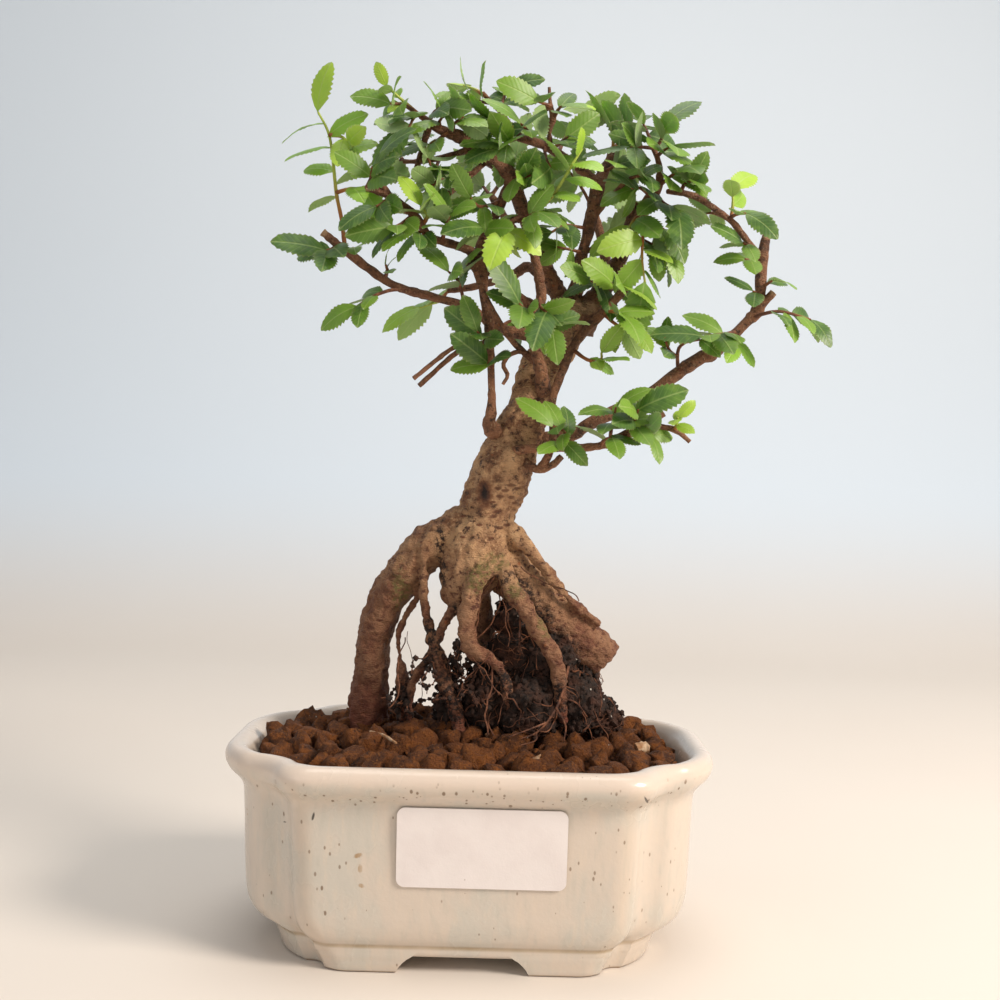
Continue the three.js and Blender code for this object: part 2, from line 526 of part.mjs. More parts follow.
function meshGeometry(vertices, triangles) {
  const geometry = new THREE.BufferGeometry();
  const numbers = vertices.flatMap((v) => v.toArray());
  geometry.setAttribute('position', new THREE.Float32BufferAttribute(numbers, 3));
  geometry.setIndex(triangles);
  return geometry;
}

// A closed body through rings of equal point count, with a flat cap at each end
function loft(rings) {
  const count = rings[0].length;
  const triangles = [];
  for (let i = 0; i < rings.length - 1; i += 1) {
    for (let j = 0; j < count; j += 1) {
      const a = i * count + j;
      const b = i * count + (j + 1) % count;
      triangles.push(a, b, b + count, a, b + count, a + count);
    }
  }
  const last = (rings.length - 1) * count;
  const flat = (ring) => ring.map((v) => new THREE.Vector2(v.x, v.y));
  THREE.ShapeUtils.triangulateShape(flat(rings[0]), []).forEach(([a, b, c]) => triangles.push(c, b, a));
  THREE.ShapeUtils.triangulateShape(flat(rings.at(-1)), [])
    .forEach(([a, b, c]) => triangles.push(last + a, last + b, last + c));
  return meshGeometry(rings.flat(), triangles);
}

// A root, limb or twig: a tube through its route, fatter and longer by a clearance if one is given
function tube(route, sides, clearance = 0) {
  const last = route.length - 1;
  const points = route.map(([x, y, z]) => new THREE.Vector3(x, y, z));
  const curve = new THREE.CatmullRomCurve3(points);
  const tangents = points.map((p, i) => curve.getTangent(i / last));
  const across = [];
  tangents.forEach((tangent, i) => {
    const start = i ? across[i - 1] : TUBE_START.clone().cross(tangent);
    across.push(start.clone().addScaledVector(tangent, -start.dot(tangent)).normalize());
  });
  const geometry = new THREE.CylinderGeometry(1, 1, 1, sides, last);
  const position = geometry.attributes.position;
  for (let k = 0; k < position.count; k += 1) {
    const ring = Math.round((position.getY(k) + 0.5) * last);
    const radius = route[ring][3] + clearance;
    const vertex = points[ring].clone()
      .addScaledVector(across[ring], position.getX(k) * radius)
      .addScaledVector(across[ring].clone().cross(tangents[ring]), position.getZ(k) * radius);
    if (ring === 0 || ring === last) {
      vertex.addScaledVector(tangents[ring], ring ? clearance : -clearance);
    }
    position.setXYZ(k, vertex.x, vertex.y, vertex.z);
  }
  return solid(geometry);
}

// The pot's plan at one height: flat panels, with a shallow hollow panel across each corner
function potPlan([height, front, length, depth], inset = 0) {
  const slip = inset * CORNER_INSET_SHARE;
  const corner = new THREE.Vector2(front - slip, depth - inset);
  const shoulder = new THREE.Vector2(length - inset, END_PANEL_HALF - slip);
  const run = shoulder.distanceTo(corner);
  const panel = shoulder.clone().sub(corner).normalize();
  const hollow = new THREE.Vector2(panel.y, -panel.x).multiplyScalar(CORNER_HOLLOW);
  const middle = (PANEL_EDGE_ROUND + run - SHOULDER_ROUND) / 2;
  const bend = (from, at, to) => new THREE.QuadraticBezierCurve(from, at, to).getPoints(2);
  const quarter = [
    ...bend(
      corner.clone().add(new THREE.Vector2(-PANEL_EDGE_ROUND, 0)),
      corner,
      corner.clone().addScaledVector(panel, PANEL_EDGE_ROUND),
    ),
    corner.clone().addScaledVector(panel, middle).add(hollow),
    ...bend(
      shoulder.clone().addScaledVector(panel, -SHOULDER_ROUND),
      shoulder,
      shoulder.clone().add(new THREE.Vector2(0, -SHOULDER_ROUND)),
    ),
  ];
  const back = [...quarter].reverse();
  const outline = [
    ...back,
    ...quarter.map((p) => new THREE.Vector2(-p.x, p.y)),
    ...back.map((p) => new THREE.Vector2(-p.x, -p.y)),
    ...quarter.map((p) => new THREE.Vector2(p.x, -p.y)),
  ];
  return outline.map((p) => new THREE.Vector3(p.x, p.y, height));
}

// One foot: a band of the pot's outline, from the front or back round a corner to the side, that
// widens from its sole up into the pot's underside
function foot(signX, signY) {
  const band = (ring, slope, height) => {
    const [, front, length, depth] = ring;
    const outer = potPlan(ring).slice(0, QUARTER_POINTS).reverse();
    const rim = [
      new THREE.Vector2(FOOT_INNER_X - slope, depth),
      ...outer.slice(0, -1).map((p) => new THREE.Vector2(p.x, p.y)),
      new THREE.Vector2(length - FOOT_END_INSET, FOOT_INNER_Y - slope),
      new THREE.Vector2(length - FOOT_WIDTH, FOOT_INNER_Y - slope),
      new THREE.Vector2(front - FOOT_WIDTH * FOOT_HEEL[0], depth - FOOT_WIDTH * FOOT_HEEL[1]),
      new THREE.Vector2(FOOT_INNER_X - slope, depth - FOOT_WIDTH),
    ];
    const placed = rim.map((p) => new THREE.Vector3(p.x * signX, p.y * signY, height));
    return signX * signY > 0 ? placed.reverse() : placed;
  };
  const top = band(POT_RINGS[0], FOOT_END_SLOPE, POT_UNDERSIDE + FOOT_SINK);
  return solid(loft([band(FOOT_SOLE, 0, 0), top]));
}

function drainHole(x) {
  const hole = new THREE.CylinderGeometry(DRAIN_RADIUS, DRAIN_RADIUS, POT_TOP, DRAIN_SIDES);
  hole.rotateX(Math.PI / 2);
  hole.translate(x, 0, 0);
  return solid(hole);
}

function makePot() {
  const body = solid(loft(POT_RINGS.map((ring) => potPlan(ring))));
  const feet = [[1, 1], [-1, 1], [-1, -1], [1, -1]].map(([x, y]) => foot(x, y));
  return join([body, ...feet]).subtract(drainHole(DRAIN_X)).subtract(drainHole(-DRAIN_X));
}

// A square of plastic net, lying on the pot's floor over a drain hole
function makeNet(x) {
  const pitch = (NET_SIZE - NET_BAR) / NET_CELLS;
  const cells = [];
  for (let i = 0; i < NET_CELLS * NET_CELLS; i += 1) {
    const cell = new THREE.BoxGeometry(pitch - NET_BAR, pitch - NET_BAR, 2 * NET_THICKNESS);
    const middle = (NET_CELLS - 1) / 2;
    cell.translate((i % NET_CELLS - middle) * pitch, (Math.floor(i / NET_CELLS) - middle) * pitch, 0);
    cells.push(solid(cell));
  }
  const sheet = solid(new THREE.BoxGeometry(NET_SIZE, NET_SIZE, NET_THICKNESS));
  return sheet.subtract(join(cells)).translate(x, 0, POT_FLOOR + GAP + NET_THICKNESS / 2);
}

// Half depth of the pot's outside at a height
function potDepth(height) {
  const above = POT_RINGS.findIndex((ring) => ring[0] > height);
  const [low, high] = [POT_RINGS[above - 1], POT_RINGS[above]];
  return THREE.MathUtils.mapLinear(height, low[0], high[0], low[3], high[3]);
}

// A blank label with rounded corners, touching the front panel near its lower and upper edge
function makeLabel() {
  const [width, height] = LABEL_SIZE;
  const shape = new THREE.Shape();
  const inner = [width / 2 - LABEL_CORNER, height / 2 - LABEL_CORNER];
  [[1, 1, 0], [-1, 1, 1], [-1, -1, 2], [1, -1, 3]].forEach(([x, y, turn]) => {
    const start = turn * Math.PI / 2;
    shape.absarc(x * inner[0], y * inner[1], LABEL_CORNER, start, start + Math.PI / 2, false);
  });
  const label = new THREE.ExtrudeGeometry(shape, {
    depth: LABEL_THICKNESS, bevelEnabled: false, curveSegments: 3,
  });
  const low = potDepth(LABEL_LOW);
  const high = potDepth(LABEL_LOW + height);
  label.translate(0, height / 2, GAP);
  label.rotateX(Math.PI / 2 + Math.atan2(high - low, height));
  label.translate(LABEL_X, -low, LABEL_LOW);
  return solid(label);
}

// Numbers from 0 to 1 in a fixed order, from a seed
function drawer(seed) {
  let state = seed;
  return () => {
    state = (Math.imul(state, 1664525) + 1013904223) >>> 0;
    return state / 4294967296;
  };
}

// A rough lump: a ball of twenty faces with its corners moved, turned at random
function lump(radius, centre, draw) {
  const geometry = new THREE.IcosahedronGeometry(radius, 0);
  geometry.deleteAttribute('normal');
  geometry.deleteAttribute('uv');
  const merged = mergeVertices(geometry);
  const position = merged.attributes.position;
  for (let k = 0; k < position.count; k += 1) {
    const swell = lerp(...LUMP_SWELL, draw());
    position.setXYZ(k, position.getX(k) * swell, position.getY(k) * swell, position.getZ(k) * swell);
  }
  merged.rotateX(2 * Math.PI * draw());
  merged.rotateZ(2 * Math.PI * draw());
  merged.translate(...centre);
  return solid(merged);
}

// Height of the soil's surface over a point of the pot's plan
function heap(x, y) {
  const [u, v] = [(x - HEAP_CENTRE[0]) / HEAP_SPREAD[0], (y - HEAP_CENTRE[1]) / HEAP_SPREAD[1]];
  return BED_EDGE + HEAP_RISE * Math.exp(-u * u - v * v);
}

// The room inside the pot, from its floor to a height over the rim, less a clearance
function potRoom(top) {
  const inside = POT_RINGS.slice(-POT_INSIDE_RINGS).reverse();
  const rings = inside.map((ring) => potPlan(ring, SOIL_CLEARANCE));
  rings[0].forEach((p) => { p.z += GAP; });
  rings.push(potPlan([top, ...inside.at(-1).slice(1)], SOIL_CLEARANCE));
  return solid(loft(rings));
}

// The soil's surface: granules as six-sided bumps side by side, with shared valleys between them.
// Valley points are kept by their place, so that neighbouring granules share them
function makeGranules() {
  const draw = drawer(GRANULE_SEED);
  const [, , length, depth] = POT_RINGS.at(RING_AT_SOIL);
  const rowPitch = GRANULE_SPACING * Math.sqrt(3) / 2;
  const rows = Math.ceil(depth / rowPitch) + 1;
  const columns = Math.ceil(length / GRANULE_SPACING) + 1;
  const vertices = [];
  const triangles = [];
  const valleys = new Map();
  const add = (x, y, rise) => vertices.push(new THREE.Vector3(x, y, heap(x, y) + rise)) - 1;
  const valley = (x, y) => {
    const key = [x, y].map((value) => Math.round(value)).join();
    if (!valleys.has(key)) {
      const shift = [draw(), draw()].map((value) => VALLEY_SHIFT * (value - 0.5));
      valleys.set(key, add(x + shift[0], y + shift[1], -VALLEY_DROP * draw()));
    }
    return valleys.get(key);
  };
  const edges = new Map();
  const face = (a, b, c) => {
    triangles.push(a, b, c);
    [[a, b], [b, c], [c, a]].forEach(([from, to]) => {
      if (!edges.delete(`${to},${from}`)) {
        edges.set(`${from},${to}`, [from, to]);
      }
    });
  };
  for (let row = -rows; row <= rows; row += 1) {
    for (let column = -columns; column <= columns; column += 1) {
      const x = (column + (row % 2 ? 0.5 : 0)) * GRANULE_SPACING;
      const y = row * rowPitch;
      const rise = GRANULE_RISE * lerp(...GRANULE_LEVEL, draw());
      const turns = [0, 1, 2, 3, 4, 5].map((k) => (k + 0.5) * Math.PI / 3);
      const rim = turns.map((turn) => valley(
        x + Math.cos(turn) * GRANULE_SPACING / Math.sqrt(3),
        y + Math.sin(turn) * GRANULE_SPACING / Math.sqrt(3),
      ));
      const crown = [turns[1], turns[3], turns[5]].map((turn) => {
        const reach = GRANULE_SPACING * lerp(...GRANULE_REACH, draw());
        const top = rise * lerp(...GRANULE_LEVEL, draw());
        return add(x + Math.cos(turn) * reach, y + Math.sin(turn) * reach, top);
      });
      crown.forEach((top, j) => {
        const [first, second, third] = [rim[2 * j], rim[2 * j + 1], rim[(2 * j + 2) % 6]];
        face(first, second, top);
        face(second, third, top);
        face(third, crown[(j + 1) % 3], top);
      });
      face(...crown);
    }
  }
  // Walls and floor round the open edge, below the pot, to be cut off with it
  const low = add(0, 0, -2 * BED_EDGE);
  [...edges.values()].forEach(([from, to]) => triangles.push(to, from, low));
  return solid(meshGeometry(vertices, triangles));
}

// Soil: what the pot holds under the granules' surface, less the roots and the nets
function makeSoil(holes) {
  const pockets = [-DRAIN_X, DRAIN_X].map((x) => {
    const pocket = new THREE.BoxGeometry(NET_SIZE + 2 * GAP, NET_SIZE + 2 * GAP, 2 * (NET_THICKNESS + GAP));
    pocket.translate(x, 0, POT_FLOOR + GAP);
    return solid(pocket);
  });
  const filled = makeGranules().intersect(potRoom(POT_TOP + ROOM_OVER_RIM));
  return largest(filled.subtract(join([...holes, ...pockets])));
}

// The tree, or the room that it needs with a clearance round it
function makeTree(clearance) {
  const tubes = Object.values(TREE_ROUTES)
    .map(([sides, route]) => tube(route, sides, clearance));
  return join(tubes);
}

// Old soil between the roots, or the room that it needs with a clearance round it
function makePeat(clearance) {
  const draw = drawer(LUMP_SEED);
  return join(PEAT_LUMPS.map(([x, y, z, radius]) => lump(radius + clearance, [x, y, z], draw)));
}

// Point and direction at a share of the length of a twig's route, taken as straight stretches
function along(route, share) {
  const points = route.map(([x, y, z]) => new THREE.Vector3(x, y, z));
  const lengths = points.slice(1).map((p, i) => p.distanceTo(points[i]));
  let rest = share * lengths.reduce((sum, length) => sum + length, 0);
  let i = 0;
  while (i < lengths.length - 1 && rest > lengths[i]) {
    rest -= lengths[i];
    i += 1;
  }
  const heading = points[i + 1].clone().sub(points[i]).normalize();
  return { at: points[i].clone().addScaledVector(heading, rest), heading };
}

// The way that a shoot's leaves face: up, outwards from the crown, and towards the light in front
function facing(at) {
  const outward = new THREE.Vector2(at.x - CROWN_MIDDLE_X, at.y).normalize();
  const light = THREE.MathUtils.clamp((CROWN_TURN_Y - at.y) / CROWN_TURN_RUN, -1, 1);
  const [sideways, backwards] = FACE_OUTWARD;
  return new THREE.Vector3(
    sideways * outward.x,
    backwards * outward.y - FACE_LIGHT * light,
    FACE_UP,
  ).normalize();
}

// A shoot's leaves by the growth rule, in two ranks with one at the tip. Every leaf makes its four
// draws, and the leaf at the tip and each fourth one from it are kept here
function leavesOf([count, length, route], draw) {
  const leaves = [];
  for (let i = 0; i < count; i += 1) {
    const rank = count - 1 - i;
    const [size, splay, roll, lift] = [draw(), draw(), draw(), draw()];
    const { at, heading } = along(route, 1 - LEAFY_SHARE * rank / count);
    const face = facing(at);
    const side = heading.clone().cross(face).normalize().multiplyScalar(rank % 2 ? -1 : 1);
    const angle = lerp(...(rank ? SIDE_SPLAY : TIP_SPLAY), splay);
    const axis = heading.clone().multiplyScalar(Math.cos(angle))
      .addScaledVector(side, Math.sin(angle))
      .addScaledVector(face, lerp(-LEAF_LIFT, LEAF_LIFT, lift));
    axis.z -= LEAF_DROOP;
    axis.normalize();
    const normal = face.addScaledVector(axis, -face.dot(axis)).normalize()
      .applyAxisAngle(axis, lerp(-LEAF_ROLL, LEAF_ROLL, roll));
    leaves.push({ at, heading, axis, normal, length: length * lerp(...SIZE_SPREAD, size) });
  }
  return leaves.filter((leaf, i) => (count - 1 - i) % LEAVES_PER_KEPT === 0);
}

// One leaf blade as a closed body from a share of its length to its tip, swung round its twig by
// an angle in degrees. Both faces are split into triangles alike
function blade(leaf, swing, from, thickness, margin = 0) {
  const turn = THREE.MathUtils.degToRad(swing);
  const axis = leaf.axis.clone().applyAxisAngle(leaf.heading, turn);
  const normal = leaf.normal.clone().applyAxisAngle(leaf.heading, turn);
  const side = axis.clone().cross(normal);
  const place = (share, width) => leaf.at.clone()
    .addScaledVector(axis, leaf.length * share)
    .addScaledVector(side, width)
    .addScaledVector(normal, leaf.length * LEAF_ARCH * 4 * share * (1 - share));
  const halfWidth = leaf.length * LEAF_WIDTH / 2;
  const right = LEAF_OUTLINE.map(([share, wide]) => place(share, halfWidth * wide + margin));
  const left = LEAF_OUTLINE.map(([share, wide]) => place(share, -halfWidth * wide - margin));
  const tip = place(1, 0).addScaledVector(axis, margin);
  const loop = [place(from, 0), ...right, tip, ...left.reverse()];
  const count = loop.length;
  const face = (level) => loop.map((p) => p.clone().addScaledVector(normal, level * thickness));
  const triangles = [];
  for (let i = 0; i < count; i += 1) {
    const next = (i + 1) % count;
    triangles.push(i, next, next + count, i, next + count, i + count);
  }
  const split = (p, q, r) => triangles.push(p + count, q + count, r + count, r, q, p);
  for (let i = 0; i <= right.length; i += 1) {
    const [low, high] = [(count - i) % count, count - 1 - i];
    if (i > 0) {
      split(low, i, i + 1);
    }
    if (i < right.length) {
      split(low, i + 1, high);
    }
  }
  return solid(meshGeometry([...face(-0.5), ...face(0.5)], triangles));
}

function boxesMeet(a, b) {
  const [p, q] = [a.boundingBox(), b.boundingBox()];
  return [0, 1, 2].every((i) => p.min[i] < q.max[i] && q.min[i] < p.max[i]);
}

function crosses(piece, others) {
  return others.some((other) => boxesMeet(piece, other) && !piece.intersect(other).isEmpty());
}

// All leafy stems: wood and twigs first, then each leaf at the first swing that keeps it clear of
// the tree, of other leafy stems and of its neighbours. A leaf with no clear swing is left out
function makeSprays(tree, treeRoom) {
  const draw = drawer(GROWTH_SEED);
  const wood = {};
  const stems = {};
  Object.entries(SPRAYS).forEach(([name, shoots]) => {
    wood[name] = (LEAFY_WOOD[name] ?? []).map(([sides, route]) => tube(route, sides));
    const twigs = shoots.map(([, , route]) => {
      const last = route.length - 1;
      return tube(route.map((point, i) => [...point, lerp(...TWIG_RADIUS, i / last)]), 3);
    });
    stems[name] = [...wood[name], ...twigs];
  });
  const placed = [];
  const sprays = {};
  Object.entries(SPRAYS).forEach(([name, shoots]) => {
    const otherNames = Object.keys(stems).filter((other) => other !== name);
    const others = [...otherNames.flatMap((other) => stems[other]), ...placed];
    const blades = [];
    const free = [...wood[name]];
    shoots.flatMap((shoot) => leavesOf(shoot, draw)).forEach((leaf) => {
      const swing = LEAF_SWINGS.find((angle) => {
        const room = (from) => blade(leaf, angle, from, LEAF_THICKNESS + 2 * GAP, GAP);
        return !crosses(room(LEAF_FREE_FROM), [tree, ...free]) && !crosses(room(LEAF_BASE), others);
      });
      if (swing !== undefined) {
        free.push(blade(leaf, swing, LEAF_FREE_FROM, LEAF_THICKNESS));
        blades.push(blade(leaf, swing, LEAF_BASE, LEAF_THICKNESS));
      }
    });
    placed.push(...blades);
    sprays[name] = largest(join([...stems[name], ...blades]).subtract(treeRoom));
  });
  return sprays;
}

const bonsai = new THREE.Group();
bonsai.name = 'chinese_elm_bonsai';

function addPiece(name, piece, [colour, roughness]) {
  const { vertProperties, triVerts } = piece.getMesh();
  const geometry = new THREE.BufferGeometry();
  geometry.setAttribute('position', new THREE.BufferAttribute(vertProperties, 3));
  geometry.setIndex(new THREE.BufferAttribute(triVerts, 1));
  geometry.computeVertexNormals();
  const material = new THREE.MeshStandardMaterial({ color: colour, roughness, metalness: 0 });
  const mesh = new THREE.Mesh(geometry, material);
  mesh.name = name;
  bonsai.add(mesh);
}

const tree = makeTree(0);
const treeRoom = makeTree(GAP);
addPiece('pot', makePot(), COLOURS.pot);
addPiece('label', makeLabel(), COLOURS.label);
addPiece('drain_net_left', makeNet(-DRAIN_X), COLOURS.net);
addPiece('drain_net_right', makeNet(DRAIN_X), COLOURS.net);
addPiece('soil', makeSoil([treeRoom, makePeat(GAP)]), COLOURS.soil);
addPiece('old_root_soil', largest(makePeat(0).subtract(treeRoom)), COLOURS.peat);
addPiece('tree', tree, COLOURS.bark);
Object.entries(makeSprays(tree, treeRoom)).forEach(([name, spray]) => addPiece(name, spray, COLOURS.leaf));

const whole = new THREE.Box3().setFromObject(bonsai);
bonsai.position.set(-(whole.min.x + whole.max.x) / 2, -(whole.min.y + whole.max.y) / 2, -whole.min.z);

export default bonsai;
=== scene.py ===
"""Looks of a Chinese elm bonsai in its glazed pot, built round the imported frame.

Shapes are drawn in millimetres from the middle of the pot's underside, with +Z up and the
front at -Y, and are moved to the frame's metres as they are made.
"""

import math
from collections import namedtuple

import bmesh
import bpy
import numpy as np
from mathutils import Euler, Matrix, Vector, noise
from mathutils.bvhtree import BVHTree


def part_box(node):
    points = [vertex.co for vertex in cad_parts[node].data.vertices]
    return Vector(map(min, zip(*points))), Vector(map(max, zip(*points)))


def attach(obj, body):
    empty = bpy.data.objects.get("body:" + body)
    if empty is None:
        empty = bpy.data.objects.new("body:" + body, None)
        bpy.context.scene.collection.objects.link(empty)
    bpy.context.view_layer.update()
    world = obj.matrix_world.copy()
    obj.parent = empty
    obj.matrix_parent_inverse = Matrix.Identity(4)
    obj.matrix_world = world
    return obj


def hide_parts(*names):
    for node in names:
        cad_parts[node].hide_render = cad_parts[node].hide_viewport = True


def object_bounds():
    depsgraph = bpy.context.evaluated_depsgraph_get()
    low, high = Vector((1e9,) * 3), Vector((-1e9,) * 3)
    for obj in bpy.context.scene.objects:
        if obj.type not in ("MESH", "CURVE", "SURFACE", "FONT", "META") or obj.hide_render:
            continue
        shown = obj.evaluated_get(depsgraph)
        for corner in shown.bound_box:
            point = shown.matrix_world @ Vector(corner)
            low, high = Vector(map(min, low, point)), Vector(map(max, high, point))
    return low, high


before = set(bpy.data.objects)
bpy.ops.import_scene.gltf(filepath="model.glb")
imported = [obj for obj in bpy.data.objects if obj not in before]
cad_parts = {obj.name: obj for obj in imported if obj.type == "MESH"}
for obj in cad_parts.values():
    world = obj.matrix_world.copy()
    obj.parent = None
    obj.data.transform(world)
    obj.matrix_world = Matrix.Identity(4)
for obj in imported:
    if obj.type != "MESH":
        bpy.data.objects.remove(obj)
cad_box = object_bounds()

# Pot
# A slip-cast stoneware pot under a cream, iron-specked glaze: long front and back panels,
# hollow panels across the corners, a thick rolled lip, a plinth line and four scrolled feet.
# Its rings go from the underside up the outside, over the lip and down the inside.

# Height, half front panel, half length and half depth of each ring
POT_RINGS = [
    (5, 40.2, 57.6, 39.4), (5.3, 40.9, 58.9, 40.3), (6.2, 41.2, 60.2, 40.9), (7.6, 41.6, 60.9, 41.1),
    (8.4, 41.9, 61.3, 41.15), (9.2, 42.6, 62.8, 41.6), (10.4, 43.6, 65.3, 42.3), (11.8, 44.6, 67.4, 42.8),
    (14, 45.7, 69, 43.3), (17, 46.5, 69.9, 43.6), (20, 46.9, 70.3, 43.7), (28, 47.4, 70.7, 44.1),
    (38, 47.9, 71, 44.6), (46, 48.3, 71.3, 45), (49, 48.5, 71.5, 45.3), (50.8, 48.7, 71.9, 45.7),
    (52.4, 49.1, 72.8, 46.6), (54, 49.7, 74.3, 48.2), (55.6, 50.4, 76, 49.9), (57.4, 50.8, 77.1, 51),
    (59.4, 50.9, 77.5, 51.4), (61.2, 50.3, 77, 50.8), (62.5, 49.1, 75.8, 49.5), (63, 47.5, 74.1, 47.9),
    (62.8, 46, 72.2, 46.1), (61.6, 45.1, 70.6, 44.6), (59, 44.5, 69, 43.2), (54, 44, 67.8, 42.1),
    (40, 43.6, 67.2, 41.4), (18, 43.1, 66.1, 39.9), (12.5, 42.5, 64.6, 39), (10.4, 41.6, 62.4, 38),
    (10, 40.8, 60, 37),
]
RINGS_TO_LIP = 23
RING_STEPS = 3
INNER_BLEND_ROWS = 4
END_PANEL_HALF = 24
CORNER_HOLLOW = 1.9
PANEL_EDGE_ROUND = 4
SHOULDER_ROUND = 13
LIP_EDGE_ROUND = 6
LIP_FROM, LIP_RUN = 51, 4
CORNER_STEPS = (6, 8, 8)
END_PANEL_STOPS = (0, 0.33, 0.67)
FRONT_PANEL_STOPS = (0.86, 0.72, 0.57, 0.43, 0.29, 0.14)
FOOT_WIDTH = 8
FOOT_INNER = (19.6, 12)
FOOT_HEEL = (3.2, 10.4)
# Level, how far the ends are cut back, half front panel, half length and half depth
FOOT_RINGS = [
    (0, -0.7, 37.4, 57.6, 39.5), (0.35, -0.2, 38, 58.2, 40.05), (0.9, 0.1, 38.3, 58.5, 40.3),
    (1.9, 0.6, 38.7, 58.8, 40.45), (3.2, 1.7, 39.3, 59.2, 40.6), (4.4, 3, 40, 59.7, 40.75),
    (5, 4, 40.3, 60, 40.85), (6, 5.4, 40.8, 60.4, 40.95), (7.2, 7, 41.2, 60.6, 41),
]
DRAIN_RADIUS = 7
DRAIN_X = 32
DRAIN_SIDES = 32
DRAIN_CUT_TO = 20
THIN_GLAZE_REACH = 2.6
SHOULDER_GLAZE_SHARE = 0.6
CREASE_Z = 8.3
WOBBLE = 0.12
WOBBLE_SIZES = (26, 9)
WOBBLE_FINE_SHARE = 0.4
WOBBLE_BETWEEN = (6, 55)
HALF_POT = 60
ALL_SMOOTH = 180

pot_low, pot_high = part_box("pot")
pot_middle = np.array([(pot_low[0] + pot_high[0]) / 2, (pot_low[1] + pot_high[1]) / 2, 0])


def thing(name, points, faces, materials=(), smooth_below=35):
    """An object from points in millimetres, shaded smooth below an angle in degrees"""
    mesh = bpy.data.meshes.new(name)
    mesh.from_pydata((np.asarray(points, float) / 1000 + pot_middle).tolist(), [], faces)
    for material in materials:
        mesh.materials.append(material)
    soften(mesh, smooth_below)
    made = bpy.data.objects.new(name, mesh)
    bpy.context.scene.collection.objects.link(made)
    return made


def soften(mesh, smooth_below):
    mesh.polygons.foreach_set("use_smooth", [True] * len(mesh.polygons))
    mesh.set_sharp_from_angle(angle=math.radians(smooth_below))
    mesh.update()


def baked(made):
    """The object with its modifiers' result as its plain mesh"""
    seen = made.evaluated_get(bpy.context.evaluated_depsgraph_get())
    mesh = bpy.data.meshes.new_from_object(seen)
    made.modifiers.clear()
    old, made.data = made.data, mesh
    mesh.name = made.name
    bpy.data.meshes.remove(old)
    return made


def smooth_rows(rows, steps):
    """Rows of numbers with more rows between them, on a smooth curve through all"""
    rows = np.asarray(rows, float)
    ends = np.vstack([2 * rows[0] - rows[1], rows, 2 * rows[-1] - rows[-2]])
    out = []
    for a, b, c, d in zip(ends, ends[1:], ends[2:], ends[3:]):
        for t in np.arange(steps) / steps:
            out.append(0.5 * (2 * b + (c - a) * t + (2 * a - 5 * b + 4 * c - d) * t ** 2
                              + (3 * b - a - 3 * c + d) * t ** 3))
    return np.array(out + [rows[-1]])


def bend(start, middle, end, steps):
    t = (np.arange(steps + 1) / steps)[:, None]
    return (1 - t) ** 2 * start + 2 * t * (1 - t) * middle + t ** 2 * end


def corner_outline(front, length, depth, edge_round):
    """One quarter of the pot's plan, from the front panel round the corner to the side"""
    corner = np.array([front, depth])
    shoulder = np.array([length, END_PANEL_HALF])
    panel = (shoulder - corner) / np.linalg.norm(shoulder - corner)
    hollow = np.array([panel[1], -panel[0]]) * CORNER_HOLLOW
    first, last = corner + panel * edge_round, shoulder - panel * SHOULDER_ROUND
    middle = (first + last) / 2 + hollow
    return np.vstack([
        bend(corner - [edge_round, 0], corner, first, CORNER_STEPS[0]),
        bend(first, 2 * middle - (first + last) / 2, last, CORNER_STEPS[1])[1:],
        bend(last, shoulder, shoulder - [0, SHOULDER_ROUND], CORNER_STEPS[2])[1:],
    ])


def pot_plan(height, front, length, depth):
    """The whole plan at one height, anticlockwise, with points along the straight panels"""
    lip = np.clip((height - LIP_FROM) / LIP_RUN, 0, 1)
    edge_round = PANEL_EDGE_ROUND + (LIP_EDGE_ROUND - PANEL_EDGE_ROUND) * lip
    quarter = corner_outline(front, length, depth, edge_round)
    side = quarter[-1] * [[1, s] for s in END_PANEL_STOPS]
    face = quarter[0] * [[s, 1] for s in FRONT_PANEL_STOPS]
    right_back = np.vstack([side, quarter[::-1], face])
    left_back = (right_back * [-1, 1])[::-1]
    outline = np.vstack([right_back, [[0, depth]], left_back[:-1]])
    front_half = outline[1:] * [1, -1]
    outline = np.vstack([outline, [[-length, 0]], front_half[::-1]])
    return np.column_stack([outline, np.full(len(outline), height)])


def loft_faces(count, rings):
    """Quads round a stack of rings, and then a flat cap at each end"""
    faces = []
    for i in range(rings - 1):
        for j in range(count):
            a, b = i * count + j, i * count + (j + 1) % count
            faces.append((a, b, b + count, a + count))
    faces.append(tuple(range(count - 1, -1, -1)))
    faces.append(tuple(range((rings - 1) * count, rings * count)))
    return faces


def store(made, label, kind, values):
    """A named value at each point of an object's mesh"""
    data = made.data.attributes.new(label, kind, "POINT").data
    data.foreach_set("vector" if kind == "FLOAT_VECTOR" else "value", values)


